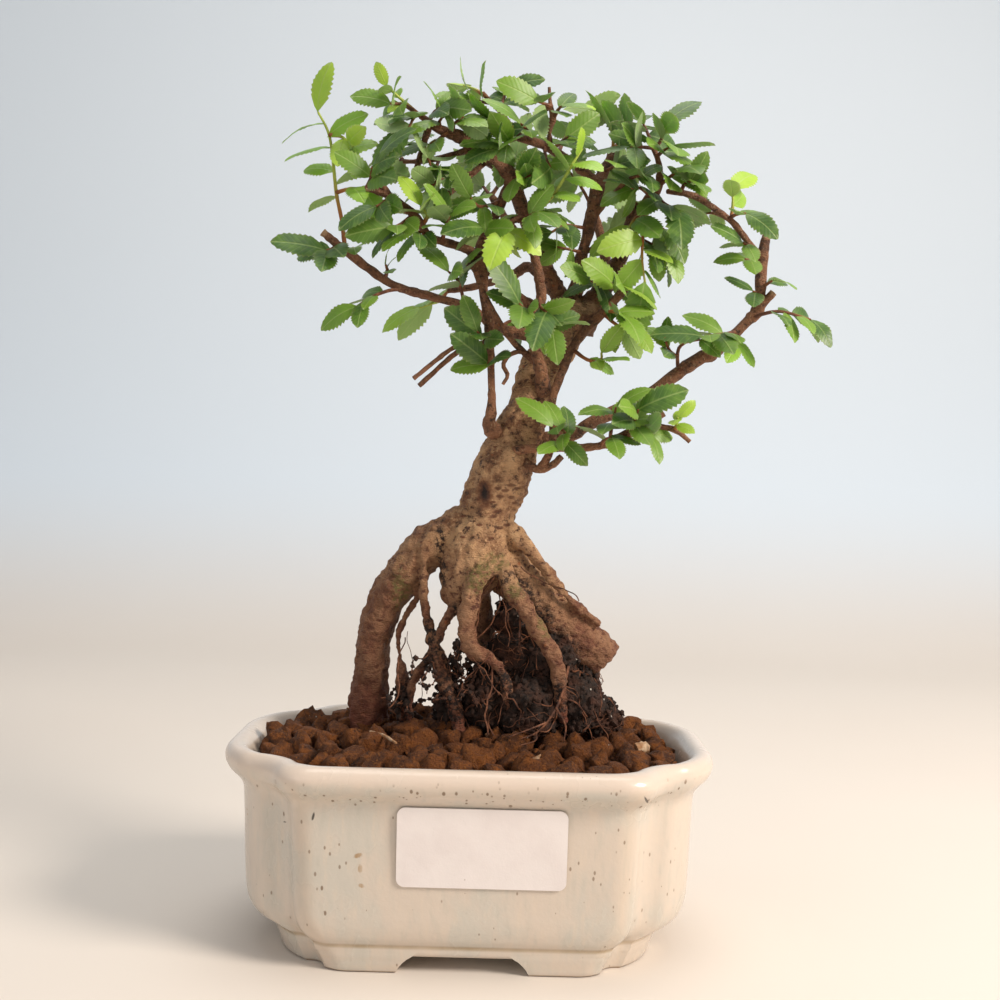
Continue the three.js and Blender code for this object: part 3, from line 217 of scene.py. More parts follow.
def pot_body():
    """The glazed body, with two values at each point: how far inside, for the shade painted inside, and how
    thin the glaze
    """
    rows = smooth_rows(POT_RINGS, RING_STEPS)
    rings = [pot_plan(*row) for row in rows]
    points = np.vstack(rings)
    # Slip casting and firing leave the panels a little uneven
    for point in points:
        broad, fine = [noise.noise(Vector(point / size)) for size in WOBBLE_SIZES]
        if WOBBLE_BETWEEN[0] < point[2] < WOBBLE_BETWEEN[1]:
            point[:2] *= 1 - abs(WOBBLE * (broad + WOBBLE_FINE_SHARE * fine)) / HALF_POT
    body = thing("pot_glazed", points, loft_faces(len(rings[0]), len(rings)))
    # How far past the lip each ring is, for the shade painted inside
    past_lip = np.repeat(np.arange(len(rings)), len(rings[0])) - (RINGS_TO_LIP * RING_STEPS - 1)
    store(body, "inner", "FLOAT", np.clip(past_lip / INNER_BLEND_ROWS, 0, 1).astype(np.float32))
    # The glaze runs thin on the panels' edges, so each point knows how near it is to one
    away = []
    for (_, front, length, depth), ring in zip(rows, rings):
        plan = np.abs(ring[:, :2])
        from_shoulder = np.linalg.norm(plan - [length, END_PANEL_HALF], axis=1)
        away.append(np.minimum(np.linalg.norm(plan - [front, depth], axis=1),
                               SHOULDER_GLAZE_SHARE * from_shoulder))
    nearness = np.exp(-(np.concatenate(away) / THIN_GLAZE_REACH) ** 2)
    store(body, "thin", "FLOAT", nearness.astype(np.float32))
    return body


def pot_foot(sign_x, sign_y):
    """A foot: a band under one corner, hollow in front, with its ends cut back in a scroll"""
    out_x, out_y = FOOT_INNER
    rings = []
    for level, back, front, length, depth in FOOT_RINGS:
        outer = corner_outline(front, length, depth, PANEL_EDGE_ROUND)
        rim = np.vstack([
            [[out_x - back, depth]], outer[:-1], [[length, out_y - back]],
            [[length - FOOT_WIDTH, out_y - back], [front - FOOT_HEEL[0], depth - FOOT_HEEL[1]]],
            [[out_x - back, depth - FOOT_WIDTH]],
        ])
        rings.append(np.column_stack([rim * [sign_x, sign_y], np.full(len(rim), level)]))
    if sign_x * sign_y > 0:
        rings = [ring[::-1] for ring in rings]
    return thing("foot", np.vstack(rings), loft_faces(len(rings[0]), len(rings)))


def drain_cutter(x):
    turns = np.arange(DRAIN_SIDES) * math.tau / DRAIN_SIDES
    ring = np.column_stack([x + DRAIN_RADIUS * np.cos(turns), DRAIN_RADIUS * np.sin(turns)])
    points = np.vstack([np.column_stack([ring, np.full(DRAIN_SIDES, z)]) for z in (0, DRAIN_CUT_TO)])
    return thing("drain", points, loft_faces(DRAIN_SIDES, 2))


def joined(base, others, operation):
    """The base with solids joined to it or cut from it, which are then removed"""
    for other in others:
        cut = base.modifiers.new("cut", "BOOLEAN")
        cut.operation, cut.solver, cut.object, cut.use_self = operation, "EXACT", other, True
    baked(base)
    for other in others:
        bpy.data.objects.remove(other)
    return base


def put(tree, kind, sockets=None, **settings):
    """A node with its settings, and a value or a link for each named input"""
    node = tree.nodes.new(kind)
    for key, value in settings.items():
        setattr(node, key, value)
    for key, value in (sockets or {}).items():
        if isinstance(value, bpy.types.NodeSocket):
            tree.links.new(value, node.inputs[key])
        else:
            node.inputs[key].default_value = value
    return node


def sums(tree, operation, a, b=0.0, c=0.0):
    return put(tree, "ShaderNodeMath", {0: a, 1: b, 2: c}, operation=operation).outputs[0]


def times(tree, a, b):
    return sums(tree, "MULTIPLY", a, b)


def eased(tree, value, low, high):
    """0 to 1 with soft ends as a value goes from low to high; low may be the larger number"""
    node = put(tree, "ShaderNodeMapRange", {"Value": value, "From Min": low, "From Max": high},
               interpolation_type="SMOOTHSTEP")
    return node.outputs["Result"]


def paint(code):
    """A colour from its six-figure screen code, as the shaders want it"""
    parts = [int(code[i:i + 2], 16) / 255 for i in (0, 2, 4)]
    return [p / 12.92 if p <= 0.04045 else ((p + 0.055) / 1.055) ** 2.4 for p in parts] + [1]


def blended(tree, share, first, second):
    """The first colour turning into the second by a share; a colour may be a screen code"""
    first, second = [paint(c) if isinstance(c, str) else c for c in (first, second)]
    node = put(tree, "ShaderNodeMix", {0: share, 6: first, 7: second}, data_type="RGBA")
    return node.outputs[2]


def washes(tree, colour, layers):
    """A colour with tones laid over it in turn: (mask, the most that it covers, tone)"""
    for mask, most, tone in layers:
        colour = blended(tree, times(tree, mask, most), colour, tone)
    return colour


def clouds(tree, vector, size, detail=3.0, roughness=0.55):
    """Soft noise with features of about a size in millimetres"""
    node = put(tree, "ShaderNodeTexNoise", {"Vector": vector, "Scale": 1 / size, "Detail": detail,
                                            "Roughness": roughness})
    return node.outputs["Fac"]


def stretched(tree, vector, factors):
    return put(tree, "ShaderNodeVectorMath", {0: vector, 1: factors}, operation="MULTIPLY").outputs[0]


def parts_of(tree, vector):
    return put(tree, "ShaderNodeSeparateXYZ", {0: vector}).outputs


def stored(tree, label):
    return put(tree, "ShaderNodeAttribute", attribute_name=label).outputs["Fac"]


def node_group(kind, name, inputs, outputs):
    """A new group: its tree, its incoming sockets, (label, kind, value), and its outgoing ones"""
    tree = bpy.data.node_groups.new(name, kind)
    for in_out, sockets in (("INPUT", inputs), ("OUTPUT", outputs)):
        for label, socket, *value in sockets:
            made = tree.interface.new_socket(label, in_out=in_out, socket_type="NodeSocket" + socket)
            if value:
                made.default_value = value[0]
    return tree, put(tree, "NodeGroupInput").outputs, put(tree, "NodeGroupOutput").inputs


def placed(tree, effect, **sockets):
    """A group in a tree, by its inputs' names: its first output"""
    return put(tree, "ShaderNodeGroup", sockets, node_tree=effect).outputs[0]


def finish(name, roughness, values=None):
    """A material with its tree, its shader's inputs and its coordinates in millimetres"""
    made = bpy.data.materials.new(name)
    made.use_nodes = True
    tree = made.node_tree
    shader = tree.nodes["Principled BSDF"]
    shader.inputs["Roughness"].default_value = roughness
    for key, value in (values or {}).items():
        shader.inputs[key].default_value = value
    where = put(tree, "ShaderNodeTexCoord").outputs["Object"]
    mapping = put(tree, "ShaderNodeMapping", {
        "Vector": where, "Scale": (1000, 1000, 1000), "Location": [-1000 * c for c in pot_middle]})
    return made, tree, shader.inputs, mapping.outputs[0]


def ridged(tree, sockets, height, depth):
    """Relief from a height of 0 to 1, of a depth in millimetres"""
    bump = put(tree, "ShaderNodeBump", {"Height": height, "Distance": depth / 1000, "Strength": 1.0})
    tree.links.new(bump.outputs[0], sockets["Normal"])


# Specks: small round spots, one in some of the cells of a pitch, in millimetres
specks, given, gives = node_group("ShaderNodeTree", "specks", [
    ("Vector", "Vector", (0, 0, 0)), ("Pitch", "Float", 5.0), ("Share", "Float", 0.3),
    ("Radius", "Float", 0.5)], [("Mask", "Float")])
cells = put(specks, "ShaderNodeTexVoronoi", {
    "Vector": put(specks, "ShaderNodeVectorMath", {0: given["Vector"], 1: given["Pitch"]},
                  operation="DIVIDE").outputs[0], "Scale": 1.0})
hue = parts_of(specks, cells.outputs["Color"])
reach = times(specks, given["Radius"], sums(specks, "MULTIPLY_ADD", hue[1], 0.9, 0.35))
away = sums(specks, "DIVIDE", times(specks, cells.outputs["Distance"], given["Pitch"]), reach)
spot = eased(specks, away, 1.0, 0.55)
specks.links.new(times(specks, spot, sums(specks, "LESS_THAN", hue[0], given["Share"])),
                 gives["Mask"])

# A mark at one place: a soft-edged oval that may lean, with a ragged edge
mark, given, gives = node_group("ShaderNodeTree", "mark", [
    ("Vector", "Vector", (0, 0, 0)), ("Centre", "Vector", (0, 0, 0)), ("Reach", "Vector", (1, 1, 1)),
    ("Lean", "Float", 0.0)], [("Mask", "Float")])
offset = put(mark, "ShaderNodeVectorMath", {0: given["Vector"], 1: given["Centre"]},
             operation="SUBTRACT").outputs[0]
leaning = put(mark, "ShaderNodeVectorRotate", {"Vector": offset, "Angle": given["Lean"]},
              rotation_type="Y_AXIS").outputs[0]
ratio = put(mark, "ShaderNodeVectorMath", {0: leaning, 1: given["Reach"]}, operation="DIVIDE").outputs[0]
far = put(mark, "ShaderNodeVectorMath", {0: ratio}, operation="LENGTH").outputs["Value"]
ragged = sums(mark, "MULTIPLY_ADD", clouds(mark, given["Vector"], 1.2), 0.9, -0.45)
mark.links.new(eased(mark, sums(mark, "ADD", far, ragged), 1.1, 0.55), gives["Mask"])


def marked(tree, colour, mm, marks, most, tone):
    """A colour with a tone in each of some marks: (centre, reach) or (centre, reach, lean)"""
    for centre, reach, *lean in marks:
        mask = placed(tree, mark, Vector=mm, Centre=centre, Reach=reach, Lean=lean[0] if lean else 0)
        colour = washes(tree, colour, [(mask, most, tone)])
    return colour


SMUDGES = [
    ((-31.2, -44.5, 36.4), (1.5, 6, 0.8), 0.3), ((-30.6, -44.5, 32.4), (0.8, 6, 1.5), 0),
    ((-30.1, -44.5, 27.3), (1.1, 6, 0.7), -0.4), ((-68.4, -30, 43.3), (0.9, 8, 0.7), 0),
    ((-68.2, -30, 41.8), (0.7, 8, 0.7), 0),
]
SCRATCHES = [
    ((-44.6, -45, 47.8), (0.45, 6, 1.6), -0.25), ((-54.4, -42, 43.4), (0.8, 8, 0.4), 0.3),
    ((52.4, -47.5, 55.6), (0.4, 6, 2.2), 0.5), ((57.2, -46, 53.8), (0.35, 6, 1.2), -0.3),
]

pot_glaze, tree, glaze, mm = finish("cream_glaze", 0.26, {"Coat Weight": 0.25, "Coat Roughness": 0.12})
*_, z = parts_of(tree, mm)
runs = clouds(tree, stretched(tree, mm, (1, 1, 0.2)), 2.2, 4.0)
patches = clouds(tree, stretched(tree, mm, (1, 1, 0.6)), 13)
# The lip's front and top are painted lighter, a painted highlight, and its specks are painted fainter under
# it
lip = eased(tree, z, 57, 60)
colour = blended(tree, eased(tree, patches, 0.42, 0.66), "d1c3b4", "c7c0b4")
from_crease = sums(tree, "ABSOLUTE", sums(tree, "SUBTRACT", z, CREASE_Z))
stained = sums(tree, "MULTIPLY_ADD", patches, 0.9, 0.05)
colour = washes(tree, colour, [
    (eased(tree, runs, 0.5, 0.72), 0.3, "b9b5a8"), (eased(tree, runs, 0.48, 0.28), 0.35, "d8c7b3"),
    # Below the lip the inside is painted darker: painted shade inside the pot
    (stored(tree, "thin"), 0.3, "d2bba2"), (lip, 0.8, "dac8b8"), (stored(tree, "inner"), 0.8, "bdb0a2"),
    (eased(tree, from_crease, 1.1, 0.15), stained, "96794a"),
])
colour = marked(tree, colour, mm, SMUDGES, sums(tree, "MULTIPLY_ADD", runs, 1.6, -0.3), "9c743c")
neck = times(tree, eased(tree, z, 50, 53.5), eased(tree, z, 60, 58))
upright = stretched(tree, mm, (1, 1, 0.55))
fine_specks = placed(tree, specks, Vector=upright, Pitch=2.2, Share=0.4, Radius=0.4)
bold_specks = placed(tree, specks, Vector=upright, Pitch=7, Share=0.22, Radius=0.52)
neck_specks = placed(tree, specks, Vector=upright, Pitch=1.8, Share=0.5, Radius=0.6)
spots = sums(tree, "MAXIMUM", times(tree, fine_specks, 0.65), times(tree, bold_specks, 0.8))
spots = sums(tree, "MAXIMUM", spots, times(tree, times(tree, neck_specks, neck), 0.8))
off_lip_highlight = sums(tree, "MULTIPLY_ADD", lip, -0.45, 1.0)
colour = washes(tree, colour, [(spots, off_lip_highlight, "6e5337")])
colour = marked(tree, colour, mm, SCRATCHES, 0.9, "2e2a26")
sole = eased(tree, z, 0.8, 0.1)
tree.links.new(blended(tree, sole, colour, "9a7f62"), glaze["Base Color"])
dull = sums(tree, "MULTIPLY_ADD", spots, 0.25, 0.18)
tree.links.new(sums(tree, "MULTIPLY_ADD", patches, 0.16, dull), glaze["Roughness"])
orange_peel = sums(tree, "MULTIPLY_ADD", clouds(tree, mm, 1.4, 2.0), 0.35, clouds(tree, mm, 9, 2.0))
ridged(tree, glaze, orange_peel, 0.16)

feet = [pot_foot(*signs) for signs in ((1, 1), (-1, 1), (-1, -1), (1, -1))]
pot = joined(pot_body(), feet, "UNION")
joined(pot, [drain_cutter(DRAIN_X), drain_cutter(-DRAIN_X)], "DIFFERENCE")
pot.data.materials.clear()
pot.data.materials.append(pot_glaze)
soften(pot.data, 38)
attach(pot, "root")
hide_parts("pot")

# Label
# A blank paper sticker with rounded corners, stuck on the front panel. It follows the panel's
# slope, and its face is a little uneven, most of all at the edges.
LABEL_SIZE = (50, 24)
LABEL_CORNER = 2.5
LABEL_THICKNESS = 0.35
FRAME_LABEL_THICKNESS = 0.5
LABEL_POINTS = 48
LABEL_LIFT = (0.12, 0.05)
# The share of the full size at each ring: on the glaze, and then on the label's face
LABEL_BACK = (0.1, 0.6, 0.96, 1)
LABEL_FRONT = (1, 0.985, 0.94, 0.8, 0.6, 0.4, 0.2)

label_low, label_high = [1000 * (np.array(c) - pot_middle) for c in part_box("label")]
label_middle = (label_low + label_high) / 2


def label_points(share, level):
    """The label's outline drawn in by a share, on its panel's slope, at a level off the glaze"""
    half = np.array(LABEL_SIZE) / 2
    outline = []
    for k in range(LABEL_POINTS):
        turn = (k + 0.5) * math.tau / LABEL_POINTS
        way = np.array([math.cos(turn), math.sin(turn)])
        outline.append(np.sign(way) * (half - LABEL_CORNER) + LABEL_CORNER * way)
    outline = np.array(outline) * share
    rise = outline[:, 1] / LABEL_SIZE[1]
    top_y = label_low[1] + FRAME_LABEL_THICKNESS
    depth = label_high[1] + (top_y - label_high[1]) * (rise + 0.5) - level
    curl, least = LABEL_LIFT
    lift = [curl * noise.noise(Vector((x / 9, y / 7, 3))) + least for x, y in outline]
    surface = depth - np.array(lift) * (0.3 + 0.7 * share) * (level > 0)
    return np.column_stack([label_middle[0] + outline[:, 0], surface, label_middle[2] + outline[:, 1]])


label_rings = [label_points(share, 0) for share in LABEL_BACK]
label_rings += [label_points(share, LABEL_THICKNESS) for share in LABEL_FRONT]

paper, tree, sheet, mm = finish("label_paper", 0.55)
fibre = clouds(tree, mm, 0.5)
handled = clouds(tree, mm, 11)
colour = blended(tree, eased(tree, handled, 0.4, 0.7), "e8e0dd", "e4dbd8")
dust = placed(tree, specks, Vector=mm, Pitch=5.0, Share=0.12, Radius=0.3)
tree.links.new(washes(tree, colour, [(dust, 0.5, "8d7c68")]), sheet["Base Color"])
tree.links.new(sums(tree, "MULTIPLY_ADD", fibre, 0.12, 0.48), sheet["Roughness"])
ridged(tree, sheet, sums(tree, "MULTIPLY_ADD", handled, 0.8, times(tree, fibre, 0.12)), 0.3)
label = thing("label_paper", np.vstack(label_rings), loft_faces(LABEL_POINTS, len(label_rings)), [paper])
bm = bmesh.new()
bm.from_mesh(label.data)
bmesh.ops.recalc_face_normals(bm, faces=bm.faces)
bm.to_mesh(label.data)
bm.free()
soften(label.data, 40)
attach(label, "root")
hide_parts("label")

# Drain nets
# A square of black moulded net over each drain hole keeps the granules in. The frame's own
# pieces stay, in a plastic with a faint moulded tooth and some dried mud.
net_plastic, tree, sheet, mm = finish("net_plastic", 0.55)
mud = eased(tree, clouds(tree, mm, 4, 4.0), 0.5, 0.75)
tree.links.new(blended(tree, mud, "1f2121", "5a4636"), sheet["Base Color"])
tree.links.new(sums(tree, "MULTIPLY_ADD", mud, 0.35, 0.45), sheet["Roughness"])
ridged(tree, sheet, clouds(tree, mm, 0.35, 2.0), 0.05)
for name in ("drain_net_left", "drain_net_right"):
    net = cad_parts[name]
    net.data.materials.clear()
    net.data.materials.append(net_plastic)

# Soil
# Baked-clay granules, 7 to 11 mm, poured round the roots and heaped a little at the trunk, over
# a dark bed that fills the pot. Crumbs lie between them.
BED_PLAN = (56, 44, 68, 42.2)
BED_FLOOR = [(10.6, 40.8, 61.2, 37.2), (15, 42.2, 64.6, 38.6)]
BED_EDGE = 56
HEAP_CENTRE = (0, 6)
HEAP_RISE = 8
HEAP_SPREAD = (52, 34)
HEAP_STOPS = (1, 0.92, 0.84, 0.76, 0.68, 0.6, 0.5, 0.4, 0.3, 0.2, 0.1, 0.03)
HEAP_FRONT_SHARE = 0.6
BED_DROP = 3.5
BED_INSET = 0.6
# Height over the heap, spacing, smallest and largest half width, and seed
GRANULES = {"granules_top": (1.6, 7.9, 3.9, 5.8, 11), "granules_under": (-2.2, 6.6, 3.2, 4.8, 12)}
GRANULE_INSET = 4.6
CRUMBS = (1.5, 3.2, 0.5, 1.4, 13)
CRUMB_INSET = 2.5
# Cuts across a face, roughness, depth of dents and number of broken sides
LUMP_FORM = (4, 0.5, 0.5, 7)
LUMP_SEEDS = range(1, 15)
CRUMB_FORM = (2, 0.5, 0.4, 3)
CRUMB_SEEDS = range(31, 35)
LUMP_ROUNDNESS = 0.86
ANY_TURN = (6.28, 6.28, 6.28)
DENSEST = 900000.0


def heap(x, y):
    u, v = (x - HEAP_CENTRE[0]) / HEAP_SPREAD[0], (y - HEAP_CENTRE[1]) / HEAP_SPREAD[1]
    return BED_EDGE + HEAP_RISE * math.exp(-u * u - v * v)


def heap_rings(inset, drop):
    """The soil's surface inside the pot: its outline drawn in step by step to the middle"""
    height, front, length, depth = BED_PLAN
    plan = pot_plan(height, front - inset * HEAP_FRONT_SHARE, length - inset, depth - inset)
    rings = []
    for share in HEAP_STOPS:
        ring = plan * [share, share, 1]
        ring[:, 2] = [heap(x, y) - drop for x, y, _ in ring]
        rings.append(ring)
    return rings


def lump(seed, cuts, roughness, dent, facets):
    """A rough lump of about one unit across its half, with some sides broken flat, from a cube's
    subdivided faces"""
    noise.seed_set(seed)
    bm = bmesh.new()
    bmesh.ops.create_cube(bm, size=2)
    bmesh.ops.subdivide_edges(bm, edges=bm.edges, cuts=cuts - 1, use_grid_fill=True)
    for vertex in bm.verts:
        flat = vertex.co.copy()
        round_ = flat.normalized()
        shift = Vector((seed * 7.3, seed * 3.1, seed * 1.7))
        swell = 1 + roughness * noise.noise(round_ * 1.1 + shift) + dent * noise.noise(round_ * 2.6 + shift)
        vertex.co = (round_ * LUMP_ROUNDNESS + flat * (1 - LUMP_ROUNDNESS)) * swell
    for _ in range(facets):
        way = noise.random_unit_vector()
        level = 0.62 + 0.22 * noise.random()
        for vertex in bm.verts:
            vertex.co -= way * max(vertex.co.dot(way) - level, 0) * 0.9
    stretch = (1 + 0.22 * math.sin(seed * 2.1), 1, 1 + 0.2 * math.cos(seed * 1.3) - 0.08)
    bmesh.ops.scale(bm, vec=stretch, verts=bm.verts)
    mesh = bpy.data.meshes.new("lump")
    bm.to_mesh(mesh)
    bm.free()
    soften(mesh, ALL_SMOOTH)
    return bpy.data.objects.new("lump", mesh)


def nodes_modifier(made, node_tree, **values):
    """A node tree on an object, its inputs set by their names through their identifiers"""
    modifier = made.modifiers.new("nodes", "NODES")
    modifier.node_group = node_tree
    for item in node_tree.interface.items_tree:
        if item.in_out == "INPUT" and item.name in values:
            modifier[item.identifier] = values[item.name]


def random_value(tree, kind, low, high, seed):
    """A random number or vector for each point; the node has its own sockets for each kind"""
    lowest, highest, result = {"FLOAT": (2, 3, 1), "FLOAT_VECTOR": (0, 1, 0)}[kind]
    sockets = {lowest: low, highest: high, "Seed": seed}
    return put(tree, "FunctionNodeRandomValue", sockets, data_type=kind).outputs[result]


# Scattered lumps: one at each point of an even scatter over a surface, turned and sized at random
scatter, given, gives = node_group("GeometryNodeTree", "scattered_lumps", [
    ("Geometry", "Geometry"), ("Spacing", "Float"), ("Smallest", "Float"), ("Largest", "Float"),
    ("Seed", "Int"), ("Lumps", "Collection"), ("Material", "Material")], [("Geometry", "Geometry")])
points = put(scatter, "GeometryNodeDistributePointsOnFaces", {
    "Mesh": given["Geometry"], "Distance Min": given["Spacing"], "Density Max": DENSEST,
    "Seed": given["Seed"]}, distribute_method="POISSON").outputs["Points"]
lumps = put(scatter, "GeometryNodeCollectionInfo", {
    "Collection": given["Lumps"], "Separate Children": True, "Reset Children": True}).outputs[0]
turn = put(scatter, "FunctionNodeEulerToRotation", {
    0: random_value(scatter, "FLOAT_VECTOR", (0, 0, 0), ANY_TURN, seed=5)}).outputs[0]
size = random_value(scatter, "FLOAT", given["Smallest"], given["Largest"], seed=6)
copies = put(scatter, "GeometryNodeInstanceOnPoints", {
    "Points": points, "Instance": lumps, "Pick Instance": True, "Rotation": turn, "Scale": size}).outputs[0]
toned = put(scatter, "GeometryNodeStoreNamedAttribute", {
    "Geometry": copies, "Name": "tone", "Value": random_value(scatter, "FLOAT", 0.0, 1.0, seed=8)},
    data_type="FLOAT", domain="INSTANCE").outputs[0]
real = put(scatter, "GeometryNodeRealizeInstances", {"Geometry": toned}).outputs[0]
scatter.links.new(put(scatter, "GeometryNodeSetMaterial", {
    "Geometry": real, "Material": given["Material"]}).outputs[0], gives["Geometry"])


def lumps_over(made, spacing, smallest, largest, seed, kinds, material):
    """An object's skin replaced by lumps that are scattered over it"""
    nodes_modifier(made, scatter, Spacing=spacing / 1000, Smallest=smallest / 1000, Largest=largest / 1000,
                   Seed=seed, Lumps=kinds, Material=material)
    return baked(made)


def heaped(name, inset, layer, kinds, material):
    """Lumps scattered over the heap, at a height over it"""
    height, *sizes = layer
    rings = heap_rings(inset, -height)
    made = thing(name, np.vstack(rings), loft_faces(len(rings[0]), len(rings))[:-2])
    return lumps_over(made, *sizes, kinds, material)


clay, tree, shell, mm = finish("clay_granules", 0.92)
grit = clouds(tree, mm, 0.9, 5.0, 0.7)
blotch = clouds(tree, mm, 3.4)
flecks = placed(tree, specks, Vector=mm, Pitch=2.6, Share=0.08, Radius=0.35)
colour = blended(tree, stored(tree, "tone"), "512a0c", "7f4614")
# Orange on the raised grain is a painted highlight, and near-black in its low places is painted shade in
# the pits
colour = washes(tree, colour, [
    (eased(tree, blotch, 0.42, 0.7), 1, "955417"), (eased(tree, grit, 0.52, 0.7), 0.7, "ad6b28"),
    (eased(tree, grit, 0.44, 0.3), 1, "221005"), (flecks, 1, "cfc3b0"),
])
tree.links.new(colour, shell["Base Color"])
tree.links.new(sums(tree, "MULTIPLY_ADD", grit, 0.2, 0.78), shell["Roughness"])
ridged(tree, shell, sums(tree, "ADD", grit, times(tree, blotch, 0.6)), 3.2)

dark_bed, tree, shell, mm = finish("soil_bed", 0.95)
grit = clouds(tree, mm, 1.2, 4.0, 0.7)
tree.links.new(blended(tree, eased(tree, grit, 0.4, 0.75), "120b08", "3a2118"), shell["Base Color"])
ridged(tree, shell, grit, 1.2)


def set_of(name, members):
    """A collection of objects for a node tree to pick from"""
    made = bpy.data.collections.new(name)
    for member in members:
        made.objects.link(member)
    return made


lump_kinds = set_of("lump_kinds", [lump(seed, *LUMP_FORM) for seed in LUMP_SEEDS])
crumb_kinds = set_of("crumb_kinds", [lump(seed, *CRUMB_FORM) for seed in CRUMB_SEEDS])
bed_rings = [pot_plan(*row) for row in BED_FLOOR] + heap_rings(BED_INSET, BED_DROP)
bed = thing("soil_bed", np.vstack(bed_rings), loft_faces(len(bed_rings[0]), len(bed_rings)), [dark_bed])
granules = [heaped(name, GRANULE_INSET, layer, lump_kinds, clay) for name, layer in GRANULES.items()]
crumbs = heaped("soil_crumbs", CRUMB_INSET, CRUMBS, crumb_kinds, clay)
for piece in [bed, crumbs, *granules]:
    soften(piece.data, ALL_SMOOTH)
    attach(piece, "root")
    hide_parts("soil")

# Old root soil
# The dark peaty lump that the roots were grown in still clings between them, crumbly, with white
# specks of mineral and fine reddish rootlets matted over it.
PEAT_LUMPS = [
    (6, -2, 75, 10), (19, -5, 74, 11), (32, -1, 76, 11), (-5, 2, 71, 8), (42, 1, 70, 7),
    (12, 1, 88, 9), (25, 1, 89, 10), (15, 3, 101, 8), (25, 4, 100, 6), (36, 2, 83, 6),
]
ROOTLET_FAN = [
    [(31, -9, 88, 0.5), (29, -14, 80, 0.45), (26, -17, 74, 0.4), (21, -19, 68.5, 0.3), (14, -20, 66, 0.2)],
    [(27, -16.5, 76, 0.35), (30, -19, 71, 0.3), (29.5, -21, 66.5, 0.2)],
    [(24, -18, 71.5, 0.3), (19, -21, 70, 0.25), (12, -22.5, 67.5, 0.18)],
    [(21, -19, 68.5, 0.25), (20.5, -22, 66.5, 0.2), (16, -24, 65.5, 0.15)],
    [(28.5, -15, 79, 0.3), (33.5, -16, 77.5, 0.25), (37, -15, 73, 0.2)],
]
HAIR_STARTS = [
    (-21, -1, 97), (0, -12, 97), (4, -13, 91), (11, -11, 80), (25, -12, 94), (27, -11, 86), (34, -4, 88),
    (20, -6, 92), (15, -7, 100), (9, -9, 113), (14, -9, 109), (29, -8, 78), (33, -6, 84), (-3, -7, 70),
    (8, -9, 119), (11, -9, 118), (13, -8, 121),
]
HAIRS_EACH = 2
CLOTTED_STARTS = [
    (-23, -1, 80), (-21, -2, 77), (-13, -6, 92), (-11, -7, 90), (-8, -7, 86), (-6, -6, 92), (-4, -5, 96),
    (-2, -6, 90), (1, -6, 94), (2, -5, 88), (-9, -6, 80), (-4, -7, 82), (0, -7, 84),
]
CLOTTED_EACH = 5
HAIR_END_Z = 64
# The most steps and the curl of loose hair roots and of clotted ones
LOOSE_WAY = (16, 0.9)
CLOTTED_WAY = (9, 1.6)
HAIR_STRIDE = 1.7
HAIR_SPREAD = 4
HAIR_LEAST_POINTS = 4
ROOTLETS = 110
ROOTLET_STEPS = 14
ROOTLET_STRIDE = 1.5
ROOTLET_CURL = 1.3
PEAT_SEED = 21
PEAT_VOXEL = 0.8
PEAT_BALL_SHARE = 0.98
# Size, depth and stretch of each wave of noise
PEAT_WAVES = [(6, 2.4, (1, 1, 1)), (2.2, 1.6, (1, 1, 1)), (1, 0.7, (1, 1, 1))]
# Spacing, smallest and largest half width, and seed
ROOT_CRUMBS = (1.7, 0.35, 1.15, 3)
HAIR_CLODS = (1.2, 0.3, 1.3, 4)
# How a stem is drawn: steps between a route's points, how far its foot's flare runs in radii, how
# far its foot bulges, and the way that its first ring starts
STEM_STEPS = 12
FLARE_RUN = 2.2
FOOT_DOME = 0.3
FIRST_ACROSS = [0.3, -0.9, 0.2]


def drawer(seed):
    """Numbers from 0 to 1 in a fixed order, by the same rule as the frame's"""
    state = seed
    while True:
        state = (state * 1664525 + 1013904223) % 2 ** 32
        yield state / 2 ** 32


def merged(shells):
    """Several shapes, each given as points and faces, as one"""
    points, faces = [], []
    for shell_points, shell_faces in shells:
        faces += [tuple(len(points) + i for i in face) for face in shell_faces]
        points += [tuple(p) for p in shell_points]
    return points, faces


def remeshed(name, shells, voxel, material, smoothing):
    """One closed skin round overlapping closed shapes"""
    made = thing(name, *merged(shells))
    skin = made.modifiers.new("skin", "REMESH")
    skin.mode, skin.voxel_size = "VOXEL", voxel / 1000
    relax = made.modifiers.new("relax", "SMOOTH")
    relax.factor, relax.iterations = 0.5, smoothing
    baked(made)
    made.data.materials.clear()
    made.data.materials.append(material)
    return made


def roughened(made, waves):
    """Moves a skin's points along their normals by noise: (size, depth, stretch) of each wave"""
    mesh = made.data
    count = len(mesh.vertices)
    places = np.empty(count * 3)
    normals = np.empty(count * 3)
    mesh.vertices.foreach_get("co", places)
    mesh.vertices.foreach_get("normal", normals)
    places, normals = places.reshape(-1, 3), normals.reshape(-1, 3)
    shift = np.zeros(count)
    for size, depth, stretch in waves:
        scaled = places * 1000 / np.array(stretch) / size
        shift += depth * np.array([noise.noise(Vector(p)) for p in scaled])
    places += normals * shift[:, None] / 1000
    mesh.vertices.foreach_set("co", places.ravel())
    soften(mesh, ALL_SMOOTH)


def ball(centre, radius):
    bm = bmesh.new()
    bmesh.ops.create_icosphere(bm, subdivisions=3, radius=radius)
    points = [np.array(v.co) + centre for v in bm.verts]
    faces = [tuple(v.index for v in f.verts) for f in bm.faces]
    bm.free()
    return points, faces


